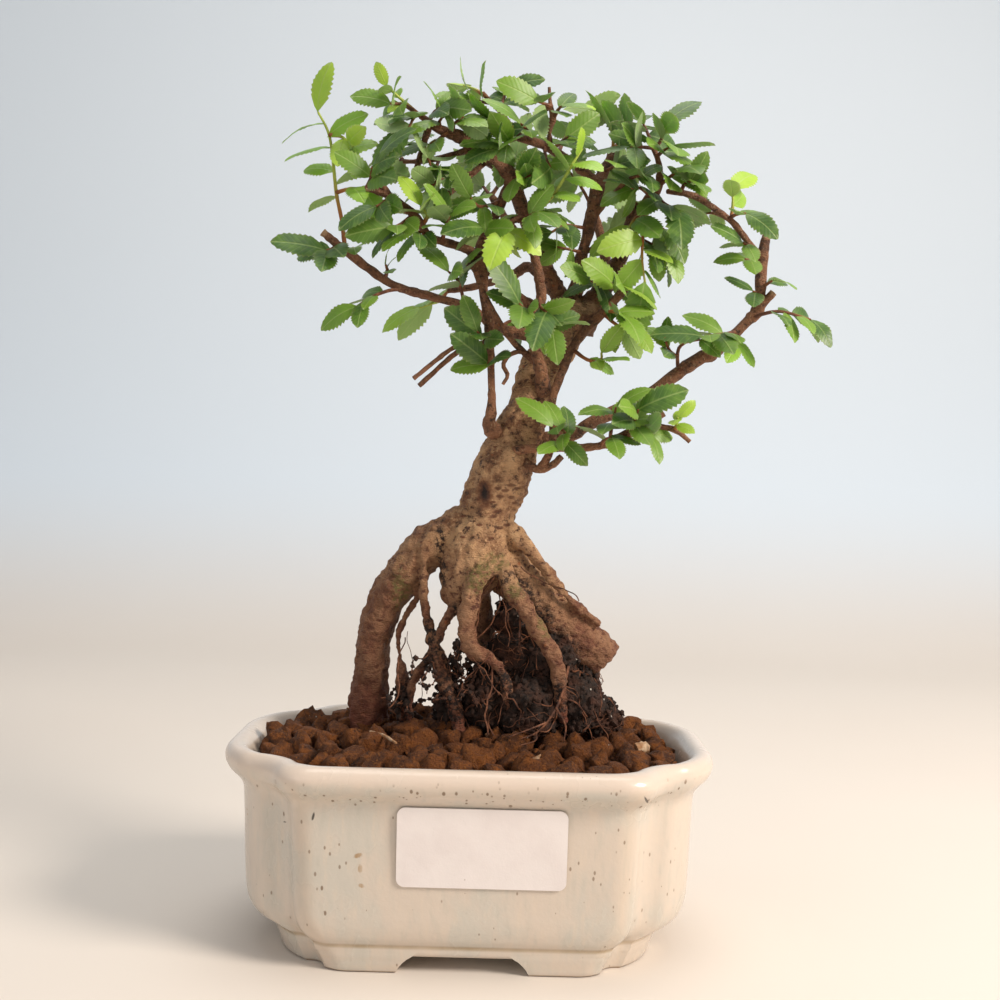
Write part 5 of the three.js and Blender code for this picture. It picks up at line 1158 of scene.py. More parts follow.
# Each shoot: age, number of leaves, leaf length and the route of its twig
SPRAYS = {
    "spray_left": [
        (YOUNG, 8, 15, [(-43.5, -13, 219.5), (-44.5, -14, 227.5), (-46.5, -14, 236.5), (-48, -14, 248.5),
            (-49.5, -14, 255.5), (-52.5, -16, 261)]),
        (YOUNG, 3, 12, [(-49, -14, 254.5), (-45, -16, 253.5), (-41, -18, 250)]),
        (YOUNG, 3, 13, [(-46.5, -14, 236.5), (-41.5, -16, 237.5), (-37, -18, 236.5)]),
        (GREEN, 4, 15, [(-46, -13, 220), (-47.5, -15, 218.5), (-49, -16, 218)]),
        (GREEN, 2, 12, [(-42.5, -13, 218), (-40.5, -16, 219)]),
        (GREEN, 5, 13, [(-25, -10, 207.5), (-29.5, -12, 206.5), (-35, -13, 204), (-39, -14, 201)]),
        (GREEN, 3, 8, [(-31, -11, 210), (-30, -12, 213), (-30.5, -13, 214.5)]),
    ],
    "spray_left_under": [
        (YOUNG, 4, 17, [(-12.5, 21, 212), (-14.5, 17, 208), (-18, 13, 206), (-21, 11, 204.5)]),
    ],
    "spray_left_mid": [
        (GREEN, 4, 16, [(-5.5, -7, 203.5), (-6.5, -10, 207.5), (-8, -13, 211.5)]),
        (GREEN, 2, 17, [(-7.5, -12, 210.5), (-10.5, -15, 212.5)]),
    ],
    "spray_front_left_low": [
        (GREEN, 4, 15, [(3, -10, 190), (1, -13, 192), (-1, -15, 194)]),
    ],
    "spray_front_left_foot": [
        (GREEN, 3, 16, [(4, -10, 183), (2.5, -13, 184.5)]),
    ],
    "spray_front_left_mid": [
        (GREEN, 4, 15, [(0, -9, 224), (1, -13, 225.5), (0, -17, 226)]),
    ],
    "spray_front_left_inner": [
        (YOUNG, 3, 17, [(2, -9, 228), (5.5, -14, 227), (7.5, -19, 225)]),
    ],
    "spray_centre_front": [
        (GREEN, 6, 15, [(11, -14, 229), (14, -17, 230), (16.5, -19, 231)]),
    ],
    "spray_front_left_top": [
        (GREEN, 6, 13, [(6, -8, 237), (2, -13, 234), (-1.5, -16, 233), (-4, -18, 235)]),
    ],
    "spray_inner_left": [
        (YOUNG, 3, 15, [(-18.5, -19, 226.5), (-17, -22, 228.5), (-19, -25, 230.5)]),
        (GREEN, 4, 15, [(-21.5, -20, 229), (-24.5, -24, 225.5), (-27, -27, 223.5)]),
        (GREEN, 4, 13, [(-16.5, -18, 222.5), (-18, -22, 223), (-20.5, -25, 223)]),
        (GREEN, 5, 14, [(-12.5, -16, 222.5), (-11.5, -19, 226), (-10, -21, 229.5)]),
        (GREEN, 5, 17, [(-36, -23, 236), (-34.5, -25, 238.5), (-34, -26, 242)]),
        (GREEN, 4, 15, [(-28.5, -23, 234), (-30, -27, 231), (-32, -30, 229)]),
    ],
    "spray_top_left": [
        (YOUNG, 4, 10, [(-20, -15, 260.5), (-24.5, -16, 264), (-28.5, -17, 267), (-31, -18, 269)]),
        (GREEN, 4, 13, [(-22.5, -16, 262), (-26, -18, 263.5), (-29.5, -20, 263)]),
        (GREEN, 5, 16, [(-20, -15, 261), (-22, -19, 259.5), (-23.5, -22, 255)]),
        (GREEN, 3, 13, [(-18, -14, 259.5), (-16, -16, 262), (-14.5, -17, 263)]),
        (GREEN, 5, 14, [(-14, -13, 257.5), (-14.5, -16, 259), (-12.5, -18, 261)]),
        (GREEN, 5, 13, [(-10, -12, 256), (-10, -14, 259), (-7, -15, 261)]),
        (GREEN, 3, 12, [(-12, -13, 256.5), (-14.5, -16, 253.5), (-17, -18, 251.5)]),
        (GREEN, 5, 15, [(-9.5, -11, 239.5), (-11, -14, 241), (-14, -16, 241), (-16.5, -18, 238)]),
        (GREEN, 4, 13, [(-4.5, -10, 244.5), (-7, -13, 245), (-10, -15, 244)]),
        (GREEN, 3, 14, [(-21, -12, 247.5), (-18, -14, 248), (-17, -15, 245.5)]),
        (GREEN, 5, 14, [(-26.5, -7, 249), (-28.5, -2, 253.5), (-28.5, 2, 258)]),
        (GREEN, 4, 14, [(-14.5, -9, 249.5), (-16, -3, 248), (-18, 2, 246)]),
    ],
    "spray_top": [
        (GREEN, 5, 15, [(4.5, -4, 266), (5, -3, 269), (5.5, -2, 271.5), (6.5, -2, 273.5)]),
        (YOUNG, 3, 14, [(-0.5, -6, 270.5), (-4, -1, 274), (-8, 3, 276.5)]),
        (GREEN, 4, 15, [(2, -5, 268.5), (-2, -8, 268), (-4.5, -10, 268)]),
        (GREEN, 5, 14, [(7.5, -4, 261.5), (4, -9, 262), (1.5, -12, 261)]),
        (GREEN, 5, 15, [(10.5, -4, 258), (7, -9, 255), (4.5, -13, 252)]),
        (GREEN, 5, 14, [(14.5, -3, 257.5), (13.5, -8, 259), (11, -11, 260.5)]),
        (GREEN, 3, 13, [(21.5, -3, 264.5), (23, -5, 267), (24, -6, 268)]),
        (GREEN, 3, 14, [(21, -3, 268.5), (18.5, -6, 268.5), (16.5, -8, 268.5)]),
        (GREEN, 6, 15, [(23.5, 0, 254), (25.5, 9, 260.5), (28, 16, 266.5), (31, 20, 271.5)]),
        (GREEN, 4, 14, [(21.5, -1, 255), (24, -5, 256.5), (26.5, -7, 258)]),
        (GREEN, 5, 14, [(19, -1, 256.5), (19.5, -6, 251), (21, -9, 247.5)]),
    ],
    "spray_centre_young": [
        (YOUNG, 8, 14, [(13.5, -5, 233), (17, -10, 233.5), (19.5, -13, 235), (22.5, -14, 238.5),
            (25, -15, 242.5), (27.5, -15, 247), (30.5, -15, 252)]),
    ],
    "spray_centre_upper": [
        (GREEN, 5, 13, [(8.5, -8, 244.5), (11.5, -13, 243), (14.5, -16, 243)]),
    ],
    "spray_centre_mid": [
        (GREEN, 7, 14, [(34.5, 4, 231), (30.5, -1, 230.5), (26, -5, 230), (22, -9, 227)]),
    ],
    "spray_centre_mid_low": [
        (GREEN, 4, 12, [(33, 4, 223), (28.5, -1, 223), (24, -5, 223)]),
    ],
    "spray_centre_low": [
        (GREEN, 4, 16, [(16.5, -12, 199), (14, -16, 201), (12, -19, 202.5)]),
        (GREEN, 4, 15, [(18.5, -12, 206), (18.5, -17, 202), (20.5, -20, 200)]),
        (GREEN, 4, 14, [(16.5, -11, 194.5), (19.5, -16, 196), (22.5, -19, 195)]),
    ],
    "spray_centre_shade": [
        (GREEN, 5, 11, [(6, -3, 196.5), (9, 2, 199.5), (12.5, 5, 201)]),
    ],
    "spray_centre_right": [
        (GREEN, 4, 12, [(46.5, 0, 246.5), (49.5, -3, 247), (52, -5, 246.5)]),
    ],
    "spray_right_low": [
        (GREEN, 4, 16, [(40, 6, 212), (38, 0, 212), (35, -5, 212.5)]),
        (LIGHT, 4, 16, [(38.5, 1.5, 212), (42.5, -1, 211), (44.5, -6, 211.5)]),
    ],
    "spray_beside_trunk": [
        (LIGHT, 4, 14, [(39, -4, 202), (42, -7, 202.5), (44.5, -9, 201.5)]),
        (LIGHT, 3, 13, [(39.5, -4, 202), (44, -7, 198), (48.5, -8, 197)]),
        (LIGHT, 4, 13, [(30, -5, 190), (34.5, -9, 186.5), (38.5, -11, 186), (38.5, -13, 188.5)]),
    ],
    "spray_top_right": [
        (GREEN, 5, 15, [(42.5, 6, 257.5), (44.5, 9, 262), (47, 12, 266.5)]),
        (YOUNG, 5, 16, [(41.5, 6, 255), (42.5, 12, 262.5), (41, 15, 269.5), (38, 17, 274)]),
        (GREEN, 4, 13, [(39, 5, 250), (41, 0, 250), (42.5, -3, 250.5)]),
    ],
    "spray_right": [
        (GREEN, 5, 15, [(54, 0, 258), (53, 4, 263), (51.5, 7, 267.5)]),
        (GREEN, 3, 15, [(55, 1, 256.5), (57, -2, 259.5), (57, -3, 263)]),
        (GREEN, 4, 18, [(56, 2, 254.5), (57.5, -2, 255.5), (59, -4, 256)]),
        (GREEN, 5, 14, [(54, 0, 257), (50, -4, 256), (46.5, -7, 255)]),
        (GREEN, 5, 16, [(57, 5, 245.5), (60.5, 1, 248), (63, -2, 250)]),
        (GREEN, 4, 15, [(55, 6, 242.5), (51, 1, 244), (47.5, -3, 243)]),
        (LIGHT, 6, 17, [(53, 6, 238.5), (52, -1, 232.5), (51.5, -4, 225.5), (51.5, -5, 219),
            (52.5, -5, 212.5)]),
        (LIGHT, 2, 17, [(52.5, 7, 237.5), (49, 1, 233.5), (47.5, -1, 231)]),
        (GREEN, 5, 16, [(56.5, 6, 244), (58.5, 1, 239.5), (62, -2, 237)]),
        (GREEN, 4, 14, [(51.5, 7, 235.5), (54.5, 3, 232), (59, 1, 231)]),
        (GREEN, 5, 14, [(49.5, 8, 230), (53, 4, 227.5), (57, 3, 225.5), (60.5, 2, 224.5)]),
    ],
    "spray_far_right": [
        (GREEN, 4, 13, [(64, 1, 243), (65, -3, 245), (67, -6, 245)]),
        (YOUNG, 3, 16, [(81, 3, 234), (81.5, 2, 239.5), (81, 1, 244.5)]),
        (GREEN, 3, 13, [(80, 2, 235), (82.5, -1, 236), (85, -2, 236)]),
        (GREEN, 3, 14, [(78, 2, 236), (75.5, 5, 237.5), (73.5, 6, 237.5)]),
        (GREEN, 3, 13, [(92, 5, 223), (88, 3, 222), (86, 2, 222)]),
        (GREEN, 3, 13, [(89, 4, 226.5), (86.5, 0, 226), (84.5, -2, 226.5)]),
        (GREEN, 2, 13, [(92, 5, 213), (93.5, 2, 214), (95, 1, 215)]),
        (GREEN, 2, 13, [(91.5, 4, 211), (89, 2, 211.5)]),
        (GREEN, 7, 14, [(88.5, 4, 202.5), (92.5, 0, 204), (98, -2, 204.5), (107, -3, 202)]),
        (GREEN, 6, 15, [(85, 4, 198.5), (80, -1, 197), (75, -4, 196), (72, -5, 195.5)]),
        (YOUNG, 2, 11, [(83, 3, 197), (83.5, -1, 193.5)]),
    ],
    "spray_right_knobbly": [
        (GREEN, 1, 11, [(65, 1, 184), (64.5, 0, 190.5), (65.5, -2, 193), (68, -3, 194), (71, -4, 194.5)]),
        (GREEN, 4, 14, [(64.5, 0, 189), (61.5, -2, 191), (60, -4, 193.5)]),
    ],
    "spray_low_right": [
        (GREEN, 5, 15, [(42, -13, 160.5), (42, -16, 164), (42.5, -18, 167.5), (43, -19, 171)]),
        (GREEN, 5, 15, [(47.5, -13, 163.5), (49, -17, 166.5), (50, -19, 170.5)]),
        (GREEN, 3, 13, [(50, -14, 164.5), (52, -17, 163.5), (54, -18, 162.5)]),
        (GREEN, 3, 14, [(39, -13, 159), (40, -17, 161), (42, -19, 161.5)]),
        (YOUNG, 4, 9, [(62, -15, 164.5), (62.5, -17, 166.5), (62.5, -18, 168.5)]),
    ],
    "spray_low_front": [
        (GREEN, 5, 13, [(30.5, -12, 158), (28, -16, 162), (26, -18, 164), (23.5, -19, 164.5)]),
        (GREEN, 2, 12, [(28, -15, 161), (27, -18, 159.5)]),
    ],
    "spray_back_right": [
        (GREEN, 7, 15, [(38, 28, 242), (41.5, 32, 248.5), (46, 36, 254)]),
        (GREEN, 5, 15, [(40, 23, 231), (44.5, 29, 236.5), (48, 33, 241.5)]),
        (GREEN, 7, 15, [(37, 29, 244), (33, 31, 251.5), (28, 32, 258)]),
    ],
    "spray_back_centre": [
        (GREEN, 7, 15, [(3, 27, 244), (-1.5, 32, 251), (-6, 36, 256.5)]),
        (GREEN, 5, 15, [(8.5, 23, 235.5), (5, 29, 234), (1, 33, 233)]),
        (GREEN, 6, 15, [(1.5, 28, 246), (6, 30, 253.5), (10, 31, 260)]),
    ],
}
LEAFY_SHARE = 0.72
TIP_SPLAY = (0.4, 0.9)
SIDE_SPLAY = (0.75, 1.2)
SIZE_SPREAD = (0.78, 1.18)
LEAF_DROOP = 0.22
LEAF_LIFT = 0.25
LEAF_ROLL = 0.55
FREE_LEAF_ROLL = 0.8
LEAF_LIGHT = 0.75
FREE_LEAF_LIGHT = 0.32
FREE_LEAF_SIZE = 0.88
LEAF_SWINGS = (0, 30, -30, 60, -60, 95, -95, 140, -140, 180)
SAME_LEAF_WITHIN = 0.4
ROOMY = 3.5
LEAST_ROOM = 1.2
ROOM_TO_BOX = 1.5
GROWTH_SEED = 41
TINT_SEED = 97
CROWN_MIDDLE_X = 22
CROWN_TURN_Y = 18
CROWN_TURN_RUN = 20
LEAF_OUTWARD = (0.3, 0.15)
LEAF_UP = 0.6
LEAF_MARKS = (0.45, 0.75, 1)
FRAME_LEAF_HALF = 0.3
LEAF_ARCH = 0.07
LEAF_HALF_WIDTH = 0.27
# Half width of the blade, the widest being 1, at shares of its length
LEAF_FORM = [
    [-0.07, 0.02, 0.1, 0.2, 0.32, 0.45, 0.58, 0.7, 0.8, 0.89, 0.95, 1],
    [0, 0.12, 0.46, 0.74, 0.92, 1, 0.99, 0.9, 0.75, 0.53, 0.3, 0],
]
LEAF_SPINE = (0.04, 0.18, 0.34, 0.52, 0.7, 0.87)
LEAF_STALK_END = (0.02, 0.1)
PAST_TIP = 9
LEAF_TEETH = 8
LEAF_TEETH_FROM = 0.24
TOOTH_POINT_AT = 0.66
NOTCH_WIDTH, TOOTH_WIDTH = 0.88, 1.05
LEAF_THICKNESS = 0.016
LEAF_KINDS = 12
LEAF_SEED = 300
LEAVES_PER_KEPT = 4
TWIG_SIDES = 6
TWIG_RADIUS = (0.75, 0.36)
BOX_MARGIN = 0.0002
UNDERSIDE_MAP = 1

Leaf = namedtuple("Leaf", "rank age at heading axis normal length")


def mix(pair, share):
    return pair[0] + (pair[1] - pair[0]) * share


def along(route, share):
    """Point and heading at a share of a route's length, taken as straight stretches"""
    points = [Vector(p) for p in route]
    lengths = [(b - a).length for a, b in zip(points, points[1:])]
    rest, i = share * sum(lengths), 0
    while i < len(lengths) - 1 and rest > lengths[i]:
        rest -= lengths[i]
        i += 1
    heading = (points[i + 1] - points[i]).normalized()
    return points[i] + heading * rest, heading


def facing(at, to_light):
    """The way that leaves face: up, outwards, and by a share towards the light in front"""
    outward = Vector((at.x - CROWN_MIDDLE_X, at.y)).normalized()
    light = max(-1, min((CROWN_TURN_Y - at.y) / CROWN_TURN_RUN, 1))
    way = (LEAF_OUTWARD[0] * outward.x, LEAF_OUTWARD[1] * outward.y - to_light * light, LEAF_UP)
    return Vector(way).normalized()


def shoot_leaves(age, count, length, route, draw):
    """A shoot's leaves by the frame's own growth rule, with four draws for each"""
    leaves = []
    for i in range(count):
        rank = count - 1 - i
        size, splay, roll, lift = [next(draw) for _ in range(4)]
        at, heading = along(route, 1 - LEAFY_SHARE * rank / count)
        free = rank % LEAVES_PER_KEPT
        face = facing(at, FREE_LEAF_LIGHT if free else LEAF_LIGHT)
        side = heading.cross(face).normalized() * (-1 if rank % 2 else 1)
        angle = mix(SIDE_SPLAY if rank else TIP_SPLAY, splay)
        rise = face * mix((-LEAF_LIFT, LEAF_LIFT), lift)
        axis = heading * math.cos(angle) + side * math.sin(angle) + rise
        axis.z -= LEAF_DROOP
        axis.normalize()
        normal = (face - axis * face.dot(axis)).normalized()
        most = FREE_LEAF_ROLL if free else LEAF_ROLL
        normal.rotate(Matrix.Rotation(mix((-most, most), roll), 3, axis))
        grown_length = length * mix(SIZE_SPREAD, size) * (FREE_LEAF_SIZE if free else 1)
        leaves.append(Leaf(rank, age, at, heading, axis, normal, grown_length))
    return leaves


def swung(leaf, swing):
    """The leaf's axis and normal once it has swung round its twig"""
    turn = Matrix.Rotation(math.radians(swing), 3, leaf.heading)
    return turn @ leaf.axis, turn @ leaf.normal


def frame_swing(leaf, corners):
    """The swing at which the frame has this leaf, found by its tip, or None"""
    for swing in LEAF_SWINGS:
        axis, normal = swung(leaf, swing)
        tip = leaf.at + axis * leaf.length + normal * FRAME_LEAF_HALF
        if np.min(np.linalg.norm(corners - np.array(tip), axis=1)) < SAME_LEAF_WITHIN:
            return swing
    return None


def leaf_marks(leaf, axis):
    """Places along the leaf that others keep away from"""
    return [np.array(leaf.at + axis * leaf.length * share) for share in LEAF_MARKS]


def free_swing(leaf, taken):
    """The first swing that leaves room round the leaf inside the frame's box, or the roomiest"""
    best, most = None, LEAST_ROOM
    for swing in LEAF_SWINGS:
        axis, _ = swung(leaf, swing)
        marks = leaf_marks(leaf, axis)
        if np.any(marks[-1] > box_high - ROOM_TO_BOX) or np.any(marks[-1] < box_low + ROOM_TO_BOX):
            continue
        room = min(np.min(np.linalg.norm(taken - m, axis=1)) for m in marks)
        if room > ROOMY:
            return swing
        if room > most:
            best, most = swing, room
    return best


def leaf_width(share):
    """Half width of the blade at a share of its length"""
    return float(np.interp(share, *LEAF_FORM))


def leaf_blade(kind):
    """One leaf of length 1 along +X facing +Z: a folded, arched blade with rounded teeth, drawn as
    a thin closed body, with its own map across and along it; the underside's map is one further on"""
    draw = drawer(LEAF_SEED + kind)
    fold, curl, twist, wave = [next(draw) for _ in range(4)]
    fold, curl, twist = 0.05 + 0.35 * fold, 0.3 * curl - 0.06, 0.4 * (twist - 0.5)
    bm = bmesh.new()
    uv = bm.loops.layers.uv.new("UVMap")
    mapped = {}

    def corner(share, wide, level=0.0):
        width = wide * LEAF_HALF_WIDTH * leaf_width(share)
        rise = LEAF_ARCH * 4 * share * (1 - share) - curl * share ** 2
        rise += abs(width) * fold + width * twist * share - 0.9 * width ** 2
        rise += 0.014 * math.sin((7 + 4 * wave) * share + 2 * kind + wide) * abs(wide)
        vertex = bm.verts.new((share, width, rise + level))
        mapped[vertex] = (0.5 + 0.5 * wide * leaf_width(share), share)
        return vertex

    def stitched(inner, outer, flip, under):
        """Faces between two rows of corners that start and end together"""
        i = j = 0
        while i < len(inner) - 1 or j < len(outer) - 1:
            ahead_i = mapped[inner[i + 1]][1] if i < len(inner) - 1 else PAST_TIP
            ahead_j = mapped[outer[j + 1]][1] if j < len(outer) - 1 else PAST_TIP
            if ahead_i <= ahead_j:
                three = (inner[i], inner[i + 1], outer[j])
                i += 1
            else:
                three = (inner[i], outer[j + 1], outer[j])
                j += 1
            if len(set(three)) == 3:
                face = bm.faces.new(three[::-1] if flip else three)
                for loop in face.loops:
                    across, up = mapped[loop.vert]
                    loop[uv].uv = (across + (UNDERSIDE_MAP if under else 0), up)

    base, tip = corner(LEAF_FORM[0][0], 0), corner(1.0, 0)
    rows = {}
    pitch = (1 - LEAF_TEETH_FROM) / LEAF_TEETH
    for sign in (1, -1):
        rim = [corner(share, sign) for share in LEAF_STALK_END]
        for tooth in range(LEAF_TEETH):
            notch = LEAF_TEETH_FROM + tooth * pitch
            rim.append(corner(notch, sign * (NOTCH_WIDTH if tooth else 1)))
            rim.append(corner(notch + TOOTH_POINT_AT * pitch, sign * TOOTH_WIDTH))
        rows[sign] = [base] + rim + [tip]
    for under in (False, True):
        level = -LEAF_THICKNESS if under else 0
        middle = [base] + [corner(s, 0, level) for s in LEAF_SPINE] + [tip]
        for sign in (1, -1):
            flip = (sign == 1) == under
            half = middle if under else [base] + [corner(s, 0.5 * sign) for s in LEAF_SPINE] + [tip]
            if not under:
                stitched(middle, half, flip, under)
            stitched(half, rows[sign], flip, under)
    bmesh.ops.recalc_face_normals(bm, faces=bm.faces)
    mesh = bpy.data.meshes.new("leaf")
    bm.to_mesh(mesh)
    bm.free()
    soften(mesh, ALL_SMOOTH)
    return bpy.data.objects.new("leaf", mesh)


# A spray grown from its twigs: a leaf at each loose point, turned, sized and tinted as the point
# says, and joined with the twigs
grown, given, gives = node_group("GeometryNodeTree", "grown_spray", [
    ("Geometry", "Geometry"), ("Leaves", "Collection"), ("Leaf finish", "Material"),
    ("Twig finish", "Material")], [("Geometry", "Geometry")])


def remembered(kind, name):
    return put(grown, "GeometryNodeInputNamedAttribute", {"Name": name}, data_type=kind).outputs[0]


split = put(grown, "GeometryNodeSeparateGeometry", {
    "Geometry": given["Geometry"], "Selection": remembered("BOOLEAN", "leaf_here")}, domain="POINT").outputs
kinds = put(grown, "GeometryNodeCollectionInfo", {
    "Collection": given["Leaves"], "Separate Children": True, "Reset Children": True}).outputs[0]
turned = put(grown, "FunctionNodeEulerToRotation", {0: remembered("FLOAT_VECTOR", "turn")}).outputs[0]
copies = put(grown, "GeometryNodeInstanceOnPoints", {
    "Points": split[0], "Instance": kinds, "Pick Instance": True,
    "Instance Index": remembered("INT", "kind"), "Rotation": turned,
    "Scale": remembered("FLOAT", "size")}).outputs[0]
leaves_real = put(grown, "GeometryNodeSetMaterial", {
    "Geometry": put(grown, "GeometryNodeRealizeInstances", {"Geometry": copies}).outputs[0],
    "Material": given["Leaf finish"]}).outputs[0]
twigs_real = put(grown, "GeometryNodeSetMaterial", {
    "Geometry": split[1], "Material": given["Twig finish"]}).outputs[0]
together = put(grown, "GeometryNodeJoinGeometry")
for part in (twigs_real, leaves_real):
    grown.links.new(part, together.inputs[0])
grown.links.new(together.outputs[0], gives["Geometry"])

leaf_green, tree, skin, mm = finish("leaf", 0.42, {
    "Specular IOR Level": 0.42, "Subsurface Weight": 0.12, "Subsurface Scale": 0.002,
    "Subsurface Radius": (0.5, 1.0, 0.2)})
tint = stored(tree, "tint")
across, up, _ = parts_of(tree, put(tree, "ShaderNodeUVMap", uv_map="UVMap").outputs[0])
under = sums(tree, "GREATER_THAN", across, UNDERSIDE_MAP + 0.001)
from_rib = sums(tree, "ABSOLUTE", sums(tree, "SUBTRACT", sums(tree, "SUBTRACT", across, under), 0.5))
rib = eased(tree, from_rib, 0.045, 0.01)
slanted = sums(tree, "FRACT", times(tree, sums(tree, "MULTIPLY_ADD", from_rib, -0.5, up), 8.5))
near_vein = sums(tree, "ABSOLUTE", sums(tree, "SUBTRACT", slanted, 0.5))
veins = eased(tree, near_vein, 0.12, 0.02)
blush = clouds(tree, mm, 5)
freckles = placed(tree, specks, Vector=mm, Pitch=4.2, Share=0.06, Radius=0.45)
mature = blended(tree, eased(tree, tint, 0.1, 0.9), "3d5c26", "709333")
colour = blended(tree, stored(tree, "age"), mature, blended(tree, tint, "7cab38", "a9c840"))
colour = washes(tree, colour, [
    (eased(tree, blush, 0.4, 0.75), 0.4, "7da03a"), (veins, 0.1, "a9bf74"), (rib, 0.3, "aebf76"),
    (eased(tree, from_rib, 0.4, 0.5), 0.25, "a3a552"), (freckles, 0.7, "6d4a22"), (under, 0.55, "9bb27f"),
])
tree.links.new(colour, skin["Base Color"])
sheen = sums(tree, "MULTIPLY_ADD", blush, 0.2, 0.32)
tree.links.new(sums(tree, "MULTIPLY_ADD", under, 0.25, sheen), skin["Roughness"])
quilt = sums(tree, "MULTIPLY_ADD", near_vein, 0.35, times(tree, from_rib, 0.6))
ridged(tree, skin, sums(tree, "MULTIPLY_ADD", rib, -0.4, quilt), 0.16)

twig_skin, tree, skin, mm = finish("twig", 0.62)
mottle = clouds(tree, mm, 2.2)
pores = placed(tree, specks, Vector=mm, Pitch=1.4, Share=0.3, Radius=0.3)
young = stored(tree, "age")
colour = blended(tree, eased(tree, mottle, 0.38, 0.68), "5b3322", "8c5a3a")
colour = washes(tree, colour, [
    (pores, 0.6, "b98d68"), (eased(tree, young, 0.1, 0.45), 1, "a0602c"),
    (eased(tree, young, 0.4, 0.8), 1, "a9b84e"),
])
tree.links.new(colour, skin["Base Color"])
ridged(tree, skin, clouds(tree, mm, 0.6), 0.2)

leaf_kinds = set_of("leaf_kinds", [leaf_blade(kind) for kind in range(LEAF_KINDS)])
box_low, box_high = [1000 * (np.array(c) - pot_middle) for c in cad_box]
draw = drawer(GROWTH_SEED)
tint_draw = drawer(TINT_SEED)
grown_leaves = {name: [leaf for shoot in shoots for leaf in shoot_leaves(*shoot, draw)]
                for name, shoots in SPRAYS.items()}
chosen = {}
taken = []
for name, leaves in grown_leaves.items():
    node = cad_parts[name]
    corners = 1000 * (np.array([v.co[:] for v in node.data.vertices]) - pot_middle)
    for k, leaf in enumerate(leaves):
        if leaf.rank % LEAVES_PER_KEPT == 0:
            swing = frame_swing(leaf, corners)
            if swing is not None:
                chosen[name, k] = swing
                taken += leaf_marks(leaf, swung(leaf, swing)[0])
for name, leaves in grown_leaves.items():
    for k, leaf in enumerate(leaves):
        if leaf.rank % LEAVES_PER_KEPT:
            swing = free_swing(leaf, np.array(taken))
            if swing is not None:
                chosen[name, k] = swing
                taken += leaf_marks(leaf, swung(leaf, swing)[0])


def kept_in_box(made):
    """Draws in the few leaf edges that would pass the frame's box"""
    mesh = made.data
    places = np.empty(len(mesh.vertices) * 3)
    mesh.vertices.foreach_get("co", places)
    low, high = [np.array(c) for c in cad_box]
    inside = np.clip(places.reshape(-1, 3), low + BOX_MARGIN, high - BOX_MARGIN)
    mesh.vertices.foreach_set("co", inside.ravel())


for name, shoots in SPRAYS.items():
    twigs, greens = [], []
    for age, _, _, route in shoots:
        last = len(route) - 1
        routed = [(*p, mix(TWIG_RADIUS, i / last)) for i, p in enumerate(route)]
        twigs.append(stem(routed, sides=TWIG_SIDES, step=1.6, wander=0.12))
        rings = (len(twigs[-1][0]) - 2) // TWIG_SIDES
        for ring in range(rings):
            greens += [(0.25 + 0.75 * age) * ring / (rings - 1) + 0.2 * age] * TWIG_SIDES
        greens += [greens[-1]] * 2
    rows = []
    for k, leaf in enumerate(grown_leaves[name]):
        kind, tint = int(next(tint_draw) * LEAF_KINDS), next(tint_draw)
        if (name, k) in chosen:
            axis, normal = swung(leaf, chosen[name, k])
            turn = Matrix((axis, normal.cross(axis), normal)).transposed().to_euler()
            rows.append((leaf.at, turn, leaf.length / 1000, kind, tint, leaf.age))
    points, faces = merged(twigs)
    plain = len(points)
    points += [tuple(row[0]) for row in rows]
    spray = thing(name + "_grown", points, faces)
    store(spray, "leaf_here", "BOOLEAN", [False] * plain + [True] * len(rows))
    store(spray, "turn", "FLOAT_VECTOR", [0.0] * (3 * plain) + [angle for row in rows for angle in row[1]])
    store(spray, "size", "FLOAT", [0.0] * plain + [row[2] for row in rows])
    store(spray, "kind", "INT", [0] * plain + [row[3] for row in rows])
    store(spray, "tint", "FLOAT", [0.5] * plain + [row[4] for row in rows])
    store(spray, "age", "FLOAT", greens + [row[5] for row in rows])
    nodes_modifier(spray, grown, **{
        "Leaves": leaf_kinds, "Leaf finish": leaf_green, "Twig finish": twig_skin})
    baked(spray)
    kept_in_box(spray)
    soften(spray.data, 50)
    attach(spray, "root")
    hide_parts(name)

# Stage
# A plain pale sweep of paper, soft studio light with its key from the right, and the camera
# where the photographer stood.
CAMERA_PLACE = (7.6, -394, 149)
CAMERA_DOWN = 1.2
CAMERA_ROLL = 1.5
CAMERA_LENS = 43.2
SWEEP_HALF_WIDTH = 2.5
SWEEP_FRONT, SWEEP_BACK = -1.2, 0.55
SWEEP_BEND = 0.45
SWEEP_BEND_STEPS = 16
SWEEP_WALL_STEPS = 8
SWEEP_WALL_STEP = 0.2

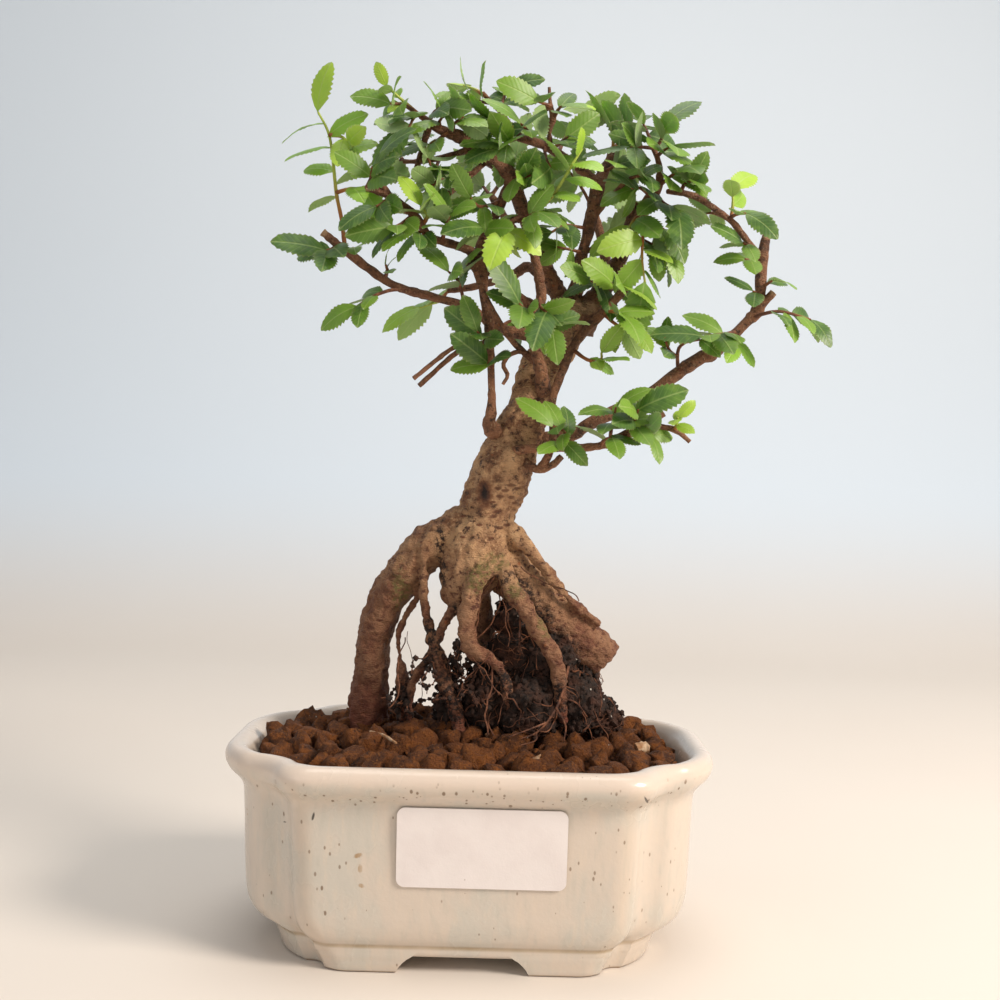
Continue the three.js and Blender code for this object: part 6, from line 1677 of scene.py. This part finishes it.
sweep = [(SWEEP_FRONT, 0)]
for k in range(SWEEP_BEND_STEPS + SWEEP_WALL_STEPS + 1):
    turn = min(k / SWEEP_BEND_STEPS, 1) * math.pi / 2
    wall = max(k - SWEEP_BEND_STEPS, 0) * SWEEP_WALL_STEP
    rise = SWEEP_BEND - SWEEP_BEND * math.cos(turn)
    sweep.append((SWEEP_BACK + SWEEP_BEND * math.sin(turn), rise + wall))
points = [(side, y, z) for side in (-SWEEP_HALF_WIDTH, SWEEP_HALF_WIDTH) for y, z in sweep]
row = len(points) // 2
mesh = bpy.data.meshes.new("backdrop")
mesh.from_pydata(points, [], [(i, i + row, i + row + 1, i + 1) for i in range(row - 1)])
soften(mesh, ALL_SMOOTH)
backdrop = bpy.data.objects.new("backdrop", mesh)
bpy.context.scene.collection.objects.link(backdrop)
pale, tree, sheet, mm = finish("backdrop_paper", 0.9)
*_, z = parts_of(tree, mm)
colour = blended(tree, clouds(tree, mm, 200, 2.0), "decbb6", "e2d2bf")
tree.links.new(blended(tree, eased(tree, z, -80, 150), colour, "dee8f1"), sheet["Base Color"])
mesh.materials.append(pale)


def lamp(name, place, target, size, power, colour):
    """A round soft lamp at a place, turned to a target, in metres and watts"""
    light = bpy.data.lights.new(name, "AREA")
    light.shape, light.size, light.energy, light.color = "DISK", size, power, colour
    made = bpy.data.objects.new(name, light)
    made.location = place
    made.rotation_euler = (Vector(target) - Vector(place)).to_track_quat("-Z", "Y").to_euler()
    bpy.context.scene.collection.objects.link(made)


lamp("key", (0.85, -0.5, 0.72), (0, 0, 0.13), 0.4, 15, (1, 0.9, 0.8))
lamp("fill", (-0.8, -0.7, 0.35), (0, 0, 0.13), 0.9, 1.3, (1, 0.95, 0.9))
lamp("top", (0, 0.1, 1.1), (0, 0, 0.1), 0.8, 4.5, (1, 0.97, 0.93))
world = bpy.data.worlds.new("room")
world.use_nodes = True
world.node_tree.nodes["Background"].inputs["Color"].default_value = (0.9, 0.92, 0.95, 1)
world.node_tree.nodes["Background"].inputs["Strength"].default_value = 0.42
bpy.context.scene.world = world

camera = bpy.data.objects.new("camera", bpy.data.cameras.new("camera"))
camera.data.lens, camera.data.sensor_width = CAMERA_LENS, 36
camera.data.clip_start, camera.data.clip_end = 0.01, 20
level = Euler((math.radians(90 - CAMERA_DOWN), 0, 0)).to_matrix()
rolled = level @ Matrix.Rotation(math.radians(CAMERA_ROLL), 3, "Z")
camera.matrix_world = Matrix.Translation(Vector(CAMERA_PLACE) / 1000 + Vector(pot_middle)) @ rolled.to_4x4()
bpy.context.scene.collection.objects.link(camera)
bpy.context.scene.camera = camera
bpy.context.scene.view_settings.view_transform = "Standard"
